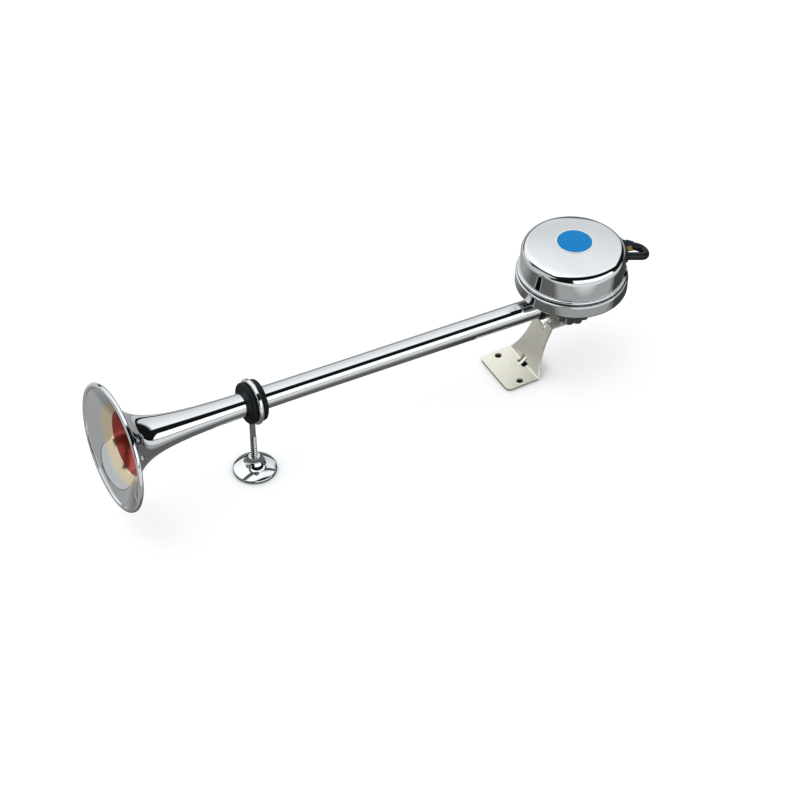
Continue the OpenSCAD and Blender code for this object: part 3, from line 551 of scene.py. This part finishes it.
# %% [markdown]
# ## Finish on the CAD nodes
# The record names a material slot for each node, so one loop gives every solid that stays
# its real finish. The solids themselves are never moved or changed.

# %% Assign finishes by slot
subparts = frame["record"]["subparts"]
for subpart in subparts:
    slots = nodes[subpart["node"]].data.materials
    slots.clear()
    slots.append(finishes[subpart["material_slot"]])
print("Finished CAD nodes:", len(subparts))

# %% [markdown]
# ## Lead piece
# The sleeve is swept along the route in nodes: a circle follows a line of points, and the
# ends are capped inside the cover, where nothing shows.

# %% Line for the lead
line = bpy.data.curves.new("lead_route", "CURVE")
line.dimensions = "3D"
spline = line.splines.new("POLY")
spline.points.add(len(route) - 1)
for point, position in zip(spline.points, route):
    point.co = (*position, 1)
line_object = bpy.data.objects.new("lead_route", line)
scene.collection.objects.link(line_object)
print("Points on the lead's line:", len(spline.points))

# %% Sweep the lead
SLEEVE_ROUND = 48
tree = new_tree("sleeve", ["Radius"])
entry = add(tree, "NodeGroupInput").outputs
source = add(tree, "GeometryNodeObjectInfo", None, {"Object": line_object})
profile = add(tree, "GeometryNodeCurvePrimitiveCircle", None,
              {"Resolution": SLEEVE_ROUND, "Radius": entry["Radius"]})
tube = add(tree, "GeometryNodeCurveToMesh", None,
           {"Curve": source.outputs["Geometry"], "Profile Curve": profile, "Fill Caps": True})
real = add(tree, "GeometryNodeRealizeInstances", None, {"Geometry": tube})
named = add(tree, "GeometryNodeSetMaterial", None, {"Geometry": real, "Material": entry["Finish"]})
add(tree, "NodeGroupOutput", None, {"Geometry": named})
sleeve = bake_tree(tree, {"Radius": LEAD_DIAMETER / 2, "Finish": finishes["black_sleeve"]})
bpy.data.objects.remove(line_object)
lead = keep_piece("lead_sleeve", sleeve, Matrix(), finishes["black_sleeve"],
                  ["lead"])

# %% [markdown]
# ## Trumpet
# The bell was spun over a former and the tube drawn, so the wall is even and the bell
# opens by a smooth rule: the radius falls away from the rim as two exponentials, a quick
# one at the mouth and a slow one that runs into the tube. A lathed profile would need its
# points typed in. Nodes can follow the rule itself, from named sizes.

# %% Sizes and rows of the trumpet
ROWS, ROUND, ROW_CROWDING = 160, 160, 3
flare_sizes = {
    "Tube Radius": 10 * MM, "Slow Gain": 18.5 * MM, "Slow Length": 38 * MM,
    "Fast Gain": 27.7 * MM, "Fast Length": 11 * MM, "Wall": 1 * MM, "Flow Length": 0.5 * MM,
    "Bell Reach": 456.5 * MM, "Tail": 24 * MM, "Rim Radius": 56.2 * MM, "Bead Radius": 2.3 * MM,
}
tree = new_tree("spun_trumpet", list(flare_sizes))
sizes = add(tree, "NodeGroupInput").outputs
grid = add(tree, "GeometryNodeMeshGrid", None,
           {"Vertices X": 2 * ROWS + 3, "Vertices Y": ROUND + 1})
across = add(tree, "ShaderNodeSeparateXYZ", None, {"Vector": grid.outputs["UV Map"]}).outputs
# Rows run down the outside to the rim and back up the inside, so the middle row is the rim
row = add(tree, MATH, "MULTIPLY_ADD", (across["X"], 2 * ROWS + 2, -ROWS - 0.5))
past_rim = add(tree, MATH, "GREATER_THAN", (row, 0))
not_last = add(tree, MATH, "LESS_THAN", (row, ROWS + 1))
inner = add(tree, MATH, "MULTIPLY", (past_rim, not_last))
rows_off = add(tree, MATH, "SUBTRACT", (add(tree, MATH, "ABSOLUTE", (row,)), 0.5))
share = add(tree, "ShaderNodeMapRange", None, {"Value": rows_off, "From Min": 0, "From Max": ROWS})
# Rows crowd towards the rim, where the bell curves most
length = add(tree, MATH, "SUBTRACT", (sizes["Bell Reach"], sizes["Tail"]))
crowded = add(tree, MATH, "POWER", (share, ROW_CROWDING))
depth = add(tree, MATH, "MULTIPLY", (length, crowded))
print("Rows down the trumpet:", 2 * ROWS + 3, "points round it:", ROUND)

# %% Rule of the bell
terms, slopes = [], []
for speed in ("Slow", "Fast"):
    turns = add(tree, MATH, "DIVIDE", (depth, sizes[speed + " Length"]))
    fall = add(tree, MATH, "EXPONENT", (add(tree, MATH, "MULTIPLY", (turns, -1)),))
    terms.append(add(tree, MATH, "MULTIPLY", (fall, sizes[speed + " Gain"])))
    slopes.append(add(tree, MATH, "DIVIDE", (terms[-1], sizes[speed + " Length"])))
outside = add(tree, MATH, "ADD", (sizes["Tube Radius"], add(tree, MATH, "ADD", terms)))
slope = add(tree, MATH, "ADD", slopes)
steep = add(tree, MATH, "SQRT", (add(tree, MATH, "MULTIPLY_ADD", (slope, slope, 1)),))
rim_radius = sum(flare_sizes[name] for name in ("Tube Radius", "Slow Gain", "Fast Gain"))
print("Radius of the bell at the rim in mm:", round(rim_radius / MM, 1))

# %% Wall and place of each point
# The inner face swells towards the rim until it meets the front of the rolled bead
flow = add(tree, MATH, "DIVIDE", (depth, sizes["Flow Length"]))
near_rim = add(tree, MATH, "EXPONENT", (add(tree, MATH, "MULTIPLY", (flow, -1)),))
bead_over_wall = add(tree, MATH, "SUBTRACT", (sizes["Bead Radius"], sizes["Wall"]))
swell = add(tree, MATH, "MULTIPLY", (bead_over_wall, near_rim))
thick = add(tree, MATH, "ADD", (sizes["Wall"], swell))
under = add(tree, MATH, "DIVIDE", (add(tree, MATH, "MULTIPLY", (inner, thick)), steep))
radius = add(tree, MATH, "SUBTRACT", (outside, under))
shifted = add(tree, MATH, "SUBTRACT", (depth, add(tree, MATH, "MULTIPLY", (under, slope))))
along = add(tree, MATH, "SUBTRACT", (shifted, sizes["Bell Reach"]))
angle = add(tree, MATH, "MULTIPLY", (across["Y"], math.tau))
sideways = add(tree, MATH, "MULTIPLY", (radius, add(tree, MATH, "COSINE", (angle,))))
upwards = add(tree, MATH, "MULTIPLY", (radius, add(tree, MATH, "SINE", (angle,))))
point = add(tree, "ShaderNodeCombineXYZ", None, (along, sideways, upwards))
wall = add(tree, "GeometryNodeSetPosition", None,
           {"Geometry": grid.outputs["Mesh"], "Position": point})
behind_rim = add(tree, MATH, "MULTIPLY", (depth, inner))
marked = add(tree, "GeometryNodeStoreNamedAttribute", {"data_type": "FLOAT", "domain": "POINT"},
             {"Geometry": wall, "Name": "bell_depth", "Value": behind_rim})
print("Wall of the bell in mm:", round(flare_sizes["Wall"] / MM, 1))

# %% Rolled bead and the finished trumpet
BEAD_ROUND = 24
rim = add(tree, "GeometryNodeCurvePrimitiveCircle", None,
          {"Resolution": ROUND, "Radius": sizes["Rim Radius"]})
wire = add(tree, "GeometryNodeCurvePrimitiveCircle", None,
           {"Resolution": BEAD_ROUND, "Radius": sizes["Bead Radius"]})
bead = add(tree, "GeometryNodeCurveToMesh", None, {"Curve": rim, "Profile Curve": wire})
reach_back = add(tree, MATH, "MULTIPLY", (sizes["Bell Reach"], -1))
mouth = add(tree, "ShaderNodeCombineXYZ", None, (reach_back,))
placed = add(tree, "GeometryNodeTransform", None,
             {"Geometry": bead, "Translation": mouth, "Rotation": (0, math.pi / 2, 0)})
both = add(tree, "GeometryNodeJoinGeometry", None, {"Geometry": marked})
tree.links.new(placed.outputs["Geometry"], both.inputs["Geometry"])
real = add(tree, "GeometryNodeRealizeInstances", None, {"Geometry": both})
named = add(tree, "GeometryNodeSetMaterial", None, {"Geometry": real, "Material": sizes["Finish"]})
add(tree, "NodeGroupOutput", None, {"Geometry": named})
spun = bake_tree(tree, {**flare_sizes, "Finish": red_inside})
keep_piece("spun_trumpet", spun, horn_frame, red_inside, ["trumpet"])

# %% [markdown]
# ## Domed cover
# The cover is one drawn cup: a slightly domed crown, a rounded shoulder, a straight wall
# and an edge rolled over the frame. Its polish shows every facet of a CAD mesh, so it is
# turned again from the same radii with far more steps, and the hole for the lead is cut
# with a Boolean.

# %% Lathe helper


def arc(centre, radius, start, end, steps):
    """Points on a circle in the plane of radius and height, by degrees from the radius axis."""
    angles = (math.radians(start + (end - start) * i / steps) for i in range(steps + 1))
    return [(centre[0] + radius * math.cos(a), centre[1] + radius * math.sin(a)) for a in angles]


def turned(profile, steps):
    """A closed mesh turned about Z from points of radius and height in millimetres."""
    rings, shape = [], bmesh.new()
    for r, z in profile:
        count = steps if r > 1e-6 else 1
        rings.append([shape.verts.new((r * MM * math.cos(math.tau * i / steps),
                                       r * MM * math.sin(math.tau * i / steps), z * MM))
                      for i in range(count)])
    if len(rings[0]) > 1:
        rings.append(rings[0])
    for below, above in zip(rings, rings[1:]):
        for i in range(steps):
            loop = dict.fromkeys([below[i % len(below)], below[(i + 1) % len(below)],
                                  above[(i + 1) % len(above)], above[i % len(above)]])
            if len(loop) > 2:
                shape.faces.new(list(loop))
    mesh = bpy.data.meshes.new("turned")
    shape.to_mesh(mesh)
    shape.free()
    print("Turned", len(profile), "points in", steps, "steps")
    return mesh


print("Points on a quarter circle in 4 steps:", len(arc((0, 0), 1, 0, 90, 4)))

# %% Turn the cover
CROWN_RADIUS, SHOULDER, COVER_WALL, COVER_STEPS = 160, 9, 1, 192
CROWN_CENTRE, SHOULDER_CENTRE = (0, -95.5), (38.7, 50.456)
BEAD_CENTRE, BEAD_RADIUS, DECK = (48.5, 31.8), 1.5, 31.9
WALL_FOOT, FRAME_EDGE = 47.9, 47.92
SPLIT = math.degrees(math.atan2(SHOULDER_CENTRE[1] - CROWN_CENTRE[1], SHOULDER_CENTRE[0]))
roll_start = math.degrees(math.acos((WALL_FOOT - BEAD_CENTRE[0]) / BEAD_RADIUS))
roll_end = math.degrees(math.acos((FRAME_EDGE - BEAD_CENTRE[0]) / BEAD_RADIUS))
cover_profile = (
    arc(CROWN_CENTRE, CROWN_RADIUS, 90, SPLIT, 24)
    + arc(SHOULDER_CENTRE, SHOULDER, SPLIT, 0, 20)[1:]
    + arc(BEAD_CENTRE, BEAD_RADIUS, roll_start, -roll_end, 28)
    + [(FRAME_EDGE, DECK), (WALL_FOOT - COVER_WALL, DECK)]
    + arc(SHOULDER_CENTRE, SHOULDER - COVER_WALL, 0, SPLIT, 16)
    + arc(CROWN_CENTRE, CROWN_RADIUS - COVER_WALL, SPLIT, 90, 20)[1:]
)
cover_mesh = turned(cover_profile, COVER_STEPS)

# %% Cutter for the lead's hole
HOLE_RADIUS, HOLE_FROM, HOLE_TO, HOLE_STEPS = 4.45 * MM, 24 * MM, 60 * MM, 16
outline = []
for side in (1, -1):
    for i in range(HOLE_STEPS + 1):
        angle = math.radians(90 * side - 90 + 180 * i / HOLE_STEPS)
        outline.append((side * HALF_SPAN + HOLE_RADIUS * math.cos(angle),
                        HOLE_RADIUS * math.sin(angle)))
plug = bmesh.new()
ends = [[plug.verts.new((x, y, z)) for y, z in outline] for x in (HOLE_FROM, HOLE_TO)]
plug.faces.new(ends[0])
plug.faces.new(ends[1])
for i in range(len(outline)):
    k = (i + 1) % len(outline)
    plug.faces.new((ends[0][i], ends[0][k], ends[1][k], ends[1][i]))
bmesh.ops.recalc_face_normals(plug, faces=plug.faces)
plug.transform(Matrix.Rotation(-LEAD_SIDE, 4, "Z") @ Matrix.Translation((0, 0, LEAD_HEIGHT)))
plug_mesh = bpy.data.meshes.new("lead_hole")
plug.to_mesh(plug_mesh)
plug.free()
print("Points round the lead's hole:", len(outline))

# %% Cut the hole
cutter = bpy.data.objects.new("lead_hole", plug_mesh)
cup = bpy.data.objects.new("cup", cover_mesh)
for item in (cutter, cup):
    scene.collection.objects.link(item)
hole = cup.modifiers.new("hole", "BOOLEAN")
hole.object, hole.operation, hole.solver = cutter, "DIFFERENCE", "EXACT"
cut_cup = cup.evaluated_get(bpy.context.evaluated_depsgraph_get())
cut_mesh = bpy.data.meshes.new_from_object(cut_cup)
for item in (cutter, cup):
    bpy.data.objects.remove(item)
keep_piece("domed_cover", cut_mesh, horn_frame, bright_chrome, ["cover"])

# %% [markdown]
# ## Support ring and foot
# A bent ring holds the rubber, and its shank is threaded into a turned foot. The thread
# is a helix, which is a rule, so nodes roll a grid round the shank and lift a crest once
# a turn. A real M6 thread has a 1 mm pitch, which is hardly more than a pixel here, so it
# is drawn with 2.4 mm.

# %% Rule of the thread
SHANK_X = -260.13 * MM
SHANK_STEPS, SHANK_ROUND, RUN_OUT = 540, 40, 0.3 * MM
thread_sizes = {"Crest": 3 * MM, "Groove": 0.7 * MM, "Pitch": 2.4 * MM, "Shank": 2.7 * MM,
                "Bottom": 7.7 * MM, "Thread Top": 41 * MM, "Top": 61.5 * MM}
tree = new_tree("rolled_thread", list(thread_sizes))
sizes = add(tree, "NodeGroupInput").outputs
grid = add(tree, "GeometryNodeMeshGrid", None,
           {"Vertices X": SHANK_STEPS, "Vertices Y": SHANK_ROUND + 1})
across = add(tree, "ShaderNodeSeparateXYZ", None, {"Vector": grid.outputs["UV Map"]}).outputs
height = add(tree, "ShaderNodeMapRange", None,
             {"Value": across["X"], "To Min": sizes["Bottom"], "To Max": sizes["Top"]})
climb = add(tree, MATH, "DIVIDE", (height, sizes["Pitch"]))
phase = add(tree, MATH, "SUBTRACT", (climb, across["Y"]))
wave = add(tree, MATH, "MULTIPLY", (add(tree, MATH, "PINGPONG", (phase, 0.5)), 2))
cut = add(tree, MATH, "MULTIPLY", (wave, sizes["Groove"]))
crest = add(tree, MATH, "SUBTRACT", (sizes["Crest"], cut))
# Over the last half millimetre or so the thread runs out into the plain shank
left = add(tree, MATH, "SUBTRACT", (sizes["Thread Top"], height))
threaded = add(tree, "ShaderNodeMapRange", {"interpolation_type": "SMOOTHSTEP"},
               {"Value": left, "From Min": -RUN_OUT, "From Max": RUN_OUT})
radius = add(tree, "ShaderNodeMix", None, {"Factor": threaded, "A": sizes["Shank"], "B": crest})
thread_span = thread_sizes["Thread Top"] - thread_sizes["Bottom"]
print("Turns of the drawn thread:", round(thread_span / thread_sizes["Pitch"], 1))

# %% Roll the shank
angle = add(tree, MATH, "MULTIPLY", (across["Y"], math.tau))
sideways = add(tree, MATH, "MULTIPLY", (radius, add(tree, MATH, "COSINE", (angle,))))
forwards = add(tree, MATH, "MULTIPLY", (radius, add(tree, MATH, "SINE", (angle,))))
point = add(tree, "ShaderNodeCombineXYZ", None, (sideways, forwards, height))
rolled = add(tree, "GeometryNodeSetPosition", None,
             {"Geometry": grid.outputs["Mesh"], "Position": point})
sunk = add(tree, MATH, "MULTIPLY", (wave, threaded))
marked = add(tree, "GeometryNodeStoreNamedAttribute", {"data_type": "FLOAT", "domain": "POINT"},
             {"Geometry": rolled, "Name": "groove", "Value": sunk})
real = add(tree, "GeometryNodeRealizeInstances", None, {"Geometry": marked})
named = add(tree, "GeometryNodeSetMaterial", None, {"Geometry": real, "Material": sizes["Finish"]})
add(tree, "NodeGroupOutput", None, {"Geometry": named})
thread_mesh = bake_tree(tree, {**thread_sizes, "Finish": thread_chrome})

# %% Close the shank and add the ring
RING_AT, RING_RADIUS, RING_BAR, BAR_POINTS, RING_STEPS = 323, 18.6, 2.5, 36, 144
support = bmesh.new()
support.from_mesh(thread_mesh)
bmesh.ops.remove_doubles(support, verts=support.verts, dist=MERGE_DISTANCE)
bmesh.ops.holes_fill(support, edges=[e for e in support.edges if e.is_boundary], sides=0)
support.transform(Matrix.Translation((SHANK_X, 0, 0)))
bar_section = arc((RING_RADIUS, 0), RING_BAR, 0, 360 - 360 / BAR_POINTS, BAR_POINTS - 1)
hoop = turned(bar_section, RING_STEPS)
hoop.transform(horn_frame @ Matrix.Translation((-RING_AT * MM, 0, 0))
               @ Matrix.Rotation(math.pi / 2, 4, "Y"))
support.from_mesh(hoop)
support_mesh = bpy.data.meshes.new("support")
support.to_mesh(support_mesh)
support.free()
keep_piece("ring_and_shank", support_mesh, Matrix(), thread_chrome, ["support_ring"])

# %% [markdown]
# ### Foot
# The foot is turned: a rounded rim, a low dome and a long hollow curve up to the neck,
# whose hole takes the thread. Underneath it is hollow, with a tapped boss. The profile
# is a short list of arcs that meet tangentially, so its reflections flow.

# %% Arcs of the foot
FOOT_RADIUS, RIM_ROUND, FOOT_WALL = 19.6, 1.5, 2.2
DOME_RADIUS, DOME_CENTRE = 35.013, -26.413
NECK_RADIUS, NECK_CURVE, NECK_TOP, EDGE = 5.2, 10, 16.46, 0.3
BOSS, TAP, TAP_DEPTH, THREAD_HOLE, ROOF = 5.6, 2.5, 6, 3.02, 7.6
FOOT_STEPS = 128
# The rim's rounding touches the dome from inside, which fixes its height
rim_x = FOOT_RADIUS - RIM_ROUND
rim_z = DOME_CENTRE + math.sqrt((DOME_RADIUS - RIM_ROUND) ** 2 - rim_x ** 2)
rim_turn = math.degrees(math.atan2(rim_z - DOME_CENTRE, rim_x))
# The neck's hollow curve touches the dome from outside
curve_x = NECK_RADIUS + NECK_CURVE
curve_z = DOME_CENTRE + math.sqrt((DOME_RADIUS + NECK_CURVE) ** 2 - curve_x ** 2)
meet = math.degrees(math.atan2(curve_z - DOME_CENTRE, curve_x))
inner_edge, inner_radius = FOOT_RADIUS - FOOT_WALL, DOME_RADIUS - FOOT_WALL
boss_turn, edge_turn = (math.degrees(math.acos(x / inner_radius)) for x in (BOSS, inner_edge))
print("The neck's curve starts at a height in mm of", round(curve_z, 1))

# %% Turn the foot
foot_profile = (
    arc((FOOT_RADIUS - EDGE, EDGE), EDGE, -90, 0, 4)
    + arc((rim_x, rim_z), RIM_ROUND, 0, rim_turn, 10)
    + arc((0, DOME_CENTRE), DOME_RADIUS, rim_turn, meet, 24)[1:]
    + arc((curve_x, curve_z), NECK_CURVE, meet - 180, -180, 32)[1:]
    + arc((NECK_RADIUS - EDGE, NECK_TOP - EDGE), EDGE, 0, 90, 4)
    + [(THREAD_HOLE, NECK_TOP), (THREAD_HOLE, ROOF), (0, ROOF)]
    + [(0, TAP_DEPTH), (TAP, TAP_DEPTH), (TAP, 0), (BOSS, 0)]
    + arc((0, DOME_CENTRE), inner_radius, boss_turn, edge_turn, 12)
    + [(inner_edge, 0)]
)
keep_piece("turned_foot", turned(foot_profile, FOOT_STEPS), Matrix.Translation((SHANK_X, 0, 0)),
           bright_chrome, ["support_foot"])

# %% [markdown]
# ## Studio
# Chrome shows the room. The photograph's bands say what stood round the horn: a wide soft
# light overhead and behind, brighter to the left, a dark gap above the camera, a bright
# panel in front and a paler wall far left. They are drawn in the world by direction,
# which is even, free of noise and the same for every part of the long tube. The camera
# itself sees plain white there.

# %% Angles of a ray in the world
world = bpy.data.worlds.new("soft_studio")
world.use_nodes = True
scene.world = world
tree = world.node_tree
tree.nodes.clear()
aim = add(tree, "ShaderNodeTexCoord")
ray = add(tree, "ShaderNodeSeparateXYZ", None, (aim.outputs["Generated"],)).outputs
# tilt goes from straight up to the front, swing from the front to the right, and lean is
# how far the ray points to the right of the plane across the horn
front = add(tree, MATH, "MULTIPLY", (ray["Y"], -1))
tilt = add(tree, MATH, "ARCTAN2", (front, ray["Z"]))
swing = add(tree, MATH, "ARCTAN2", (ray["X"], front))
lean = add(tree, MATH, "ARCSINE", (ray["X"],))


def soft_box(sides):
    """A lit patch: angles, each with its two limits and the softness of its edges in degrees."""
    patch = 1
    for value, low, high, soft in sides:
        for limit, way in ((low, soft), (high, -soft)):
            edge = add(tree, "ShaderNodeMapRange", {"interpolation_type": "SMOOTHSTEP"},
                       {"Value": value, "From Min": math.radians(limit - way),
                        "From Max": math.radians(limit + way)})
            patch = add(tree, MATH, "MULTIPLY", (patch, edge))
    return patch


print("Angles ready in", world.name)

# %% Soft boxes of the studio
OVERHEAD_BACK, OVERHEAD_FRONT, LEFT_EXTRA = 1.08, 1.6, 0.5
PANEL_LIGHT, WALL_LIGHT, DARK_ROOM = 2.2, 0.88, 0.012
brighter_front = add(tree, "ShaderNodeMapRange", None,
                     {"Value": tilt, "From Min": math.radians(-65), "From Max": math.radians(8),
                      "To Min": OVERHEAD_BACK, "To Max": OVERHEAD_FRONT})
brighter_left = add(tree, "ShaderNodeMapRange", {"interpolation_type": "SMOOTHSTEP"},
                    {"Value": lean, "From Min": math.radians(24), "From Max": math.radians(-18),
                     "To Max": LEFT_EXTRA})
level = add(tree, MATH, "ADD", (brighter_front, brighter_left))
roof = soft_box([(tilt, -80, 16, 3), (lean, -39, 59, 4)])
overhead = add(tree, MATH, "MULTIPLY", (roof, level))
front_box = soft_box([(tilt, 53, 87, 2), (swing, -28, 58, 2)])
panel = add(tree, MATH, "MULTIPLY", (front_box, PANEL_LIGHT))
far_left = soft_box([(tilt, -103, 42, 10), (lean, -95, -54, 3)])
back_left = soft_box([(tilt, -103, -64, 4), (lean, -58, -18, 4)])
end_left = soft_box([(lean, -99, -76, 2)])
left_walls = add(tree, MATH, "MAXIMUM", (far_left, back_left))
walls = add(tree, MATH, "MAXIMUM", (left_walls, end_left))
print("Nodes in the studio:", len(tree.nodes))

# %% Light of the studio
wall_glow = add(tree, MATH, "MULTIPLY", (walls, WALL_LIGHT))
lit = add(tree, MATH, "MAXIMUM", (overhead, wall_glow))
glow = add(tree, MATH, "ADD", (add(tree, MATH, "ADD", (lit, panel)), DARK_ROOM))
path_kind = add(tree, "ShaderNodeLightPath").outputs
seen = add(tree, "ShaderNodeMix", None,
           {"Factor": path_kind["Is Camera Ray"], "A": glow, "B": 1.0})
sky = add(tree, "ShaderNodeBackground", None, {"Strength": seen, "Color": linear("#FAFDFF")})
add(tree, "ShaderNodeOutputWorld", None, {"Surface": sky})
scene.view_settings.view_transform = "Standard"
print("View transform:", scene.view_settings.view_transform)

# %% [markdown]
# ## Floor
# The floor is a pale sheet. The camera sees it close to white, like a cut-out background,
# with the horn's shadow, and with painted shade on the floor under the bracket's holes and
# slot. Glossy rays see tones given by place instead: painted shade around and under the
# horn, the table mid grey further off and pale beyond a line that mirrors in the bell.

# %% Floor sheet
FLOOR_HALF = 4.0
floor_mesh = bpy.data.meshes.new("floor")
corners = [(x * FLOOR_HALF, y * FLOOR_HALF, 0) for x, y in ((-1, -1), (1, -1), (1, 1), (-1, 1))]
floor_mesh.from_pydata(corners, [], [(0, 1, 2, 3)])
floor = bpy.data.objects.new("floor", floor_mesh)
scene.collection.objects.link(floor)
print("Floor in metres:", 2 * FLOOR_HALF)

# %% Table tones for glossy rays
LINE_SLOPE, LINE_AT, LINE_HALF, LINE_DARKER = 0.4, 358 * MM, 6 * MM, 0.5
paper = bpy.data.materials.new("pale_paper")
paper.use_nodes = True
tree = paper.node_tree
tree.nodes.clear()
place = add(tree, "ShaderNodeTexCoord").outputs["Object"]
spot = add(tree, "ShaderNodeSeparateXYZ", None, (place,)).outputs
# Beyond this slanting line the table is pale, and the line itself is dark
across_line = add(tree, MATH, "MULTIPLY_ADD", (spot["X"], -LINE_SLOPE, spot["Y"]))
# Right under the coil unit the glossy tone is painted shade
shade = add(tree, "ShaderNodeMapRange", None,
            {"Value": spot["X"], "From Min": -70 * MM, "From Max": -20 * MM,
             "To Min": 0.18, "To Max": 0.07})
# Each zone has where it starts and where it is full, in millimetres, and its two tones
zones = (
    (spot["Y"], -80, -115, shade, 0.55),
    (spot["X"], -400, -450, shade, 0.55),
    (spot["Y"], 90, 140, shade, 0.5),
    (spot["Y"], -150, -200, 0, 1.15),
    (across_line, 362, 372, 0, 0.82),
)
# Near the horn each zone keeps the painted shade as its tone
table = 0
for value, near, far, tone, far_tone in zones:
    zone = add(tree, "ShaderNodeMapRange", None,
               {"Value": value, "From Min": near * MM, "From Max": far * MM,
                "To Min": tone, "To Max": far_tone})
    table = add(tree, MATH, "MAXIMUM", (table, zone))
on_line = add(tree, MATH, "COMPARE", (across_line, LINE_AT, LINE_HALF))
line_tone = add(tree, MATH, "MULTIPLY_ADD", (on_line, -LINE_DARKER, 1))
table = add(tree, MATH, "MULTIPLY", (table, line_tone))
mirrored = add(tree, "ShaderNodeEmission", None, {"Strength": table})
print("Zones of the table:", len(zones))

# %% Painted shade under the bracket's holes and slot
# Spots under the bracket's two holes and a patch under its slot are painted dark, as painted shade
SHADE_SPOT_SPACING, SHADE_SPOT_RADIUS, SLOT_SHADE_FROM, SLOT_SHADE_TO, SLOT_SHADE_HALF = (v * MM for v in (39, 4.2, 10.5, 19, 6))
aside = add(tree, MATH, "ABSOLUTE", (spot["Y"],))
flat = add(tree, "ShaderNodeCombineXYZ", None, (spot["X"], aside))
to_hole = add(tree, "ShaderNodeVectorMath", "DISTANCE", (flat, (0, SHADE_SPOT_SPACING / 2, 0)))
shaded = add(tree, MATH, "LESS_THAN", (to_hole, SHADE_SPOT_RADIUS))
slot_shade_length = add(tree, MATH, "COMPARE",
                 (spot["X"], (SLOT_SHADE_FROM + SLOT_SHADE_TO) / 2, (SLOT_SHADE_TO - SLOT_SHADE_FROM) / 2))
slot_shade_width = add(tree, MATH, "LESS_THAN", (aside, SLOT_SHADE_HALF))
cut = add(tree, MATH, "MULTIPLY", (slot_shade_length, slot_shade_width))
dark = add(tree, MATH, "MAXIMUM", (shaded, cut))
print("Panel's drilled holes in mm:", round(2 * SHADE_SPOT_RADIUS / MM, 1))

# %% Paper for the camera
PAPER, SHADE_UNDER_BRACKET, PAPER_LIFT = "#C0C1C2", "#14181A", 0.56
CONTACT_SHADE, CONTACT_POWER = 18 * MM, 1.5
# The painted shade under the bracket is mixed into the paper's colour
paper_colour = add(tree, "ShaderNodeMix", {"data_type": "RGBA"},
                   {"Factor": dark, "A": linear(PAPER), "B": linear(SHADE_UNDER_BRACKET)})
matt = add(tree, "ShaderNodeBsdfDiffuse", None, {"Color": paper_colour})
# The sheet is lifted towards white for the camera, less so close to what stands on it
hollow = add(tree, "ShaderNodeAmbientOcclusion", {"samples": 16}, {"Distance": CONTACT_SHADE})
open_share = add(tree, MATH, "POWER", (hollow.outputs["AO"], CONTACT_POWER))
path_kind = add(tree, "ShaderNodeLightPath").outputs
paper_left = add(tree, MATH, "SUBTRACT", (1, dark))
undark = add(tree, MATH, "MULTIPLY", (paper_left, path_kind["Is Camera Ray"]))
lift = add(tree, MATH, "MULTIPLY", (add(tree, MATH, "MULTIPLY", (open_share, PAPER_LIFT)), undark))
bright = add(tree, "ShaderNodeEmission", None, {"Strength": lift})
sheet = add(tree, "ShaderNodeAddShader", None, (matt, bright))
choice = add(tree, "ShaderNodeMixShader", None, (path_kind["Is Glossy Ray"], sheet, mirrored))
add(tree, "ShaderNodeOutputMaterial", None, {"Surface": choice})
floor_mesh.materials.append(paper)
print("Finish", paper.name, "nodes", len(tree.nodes))
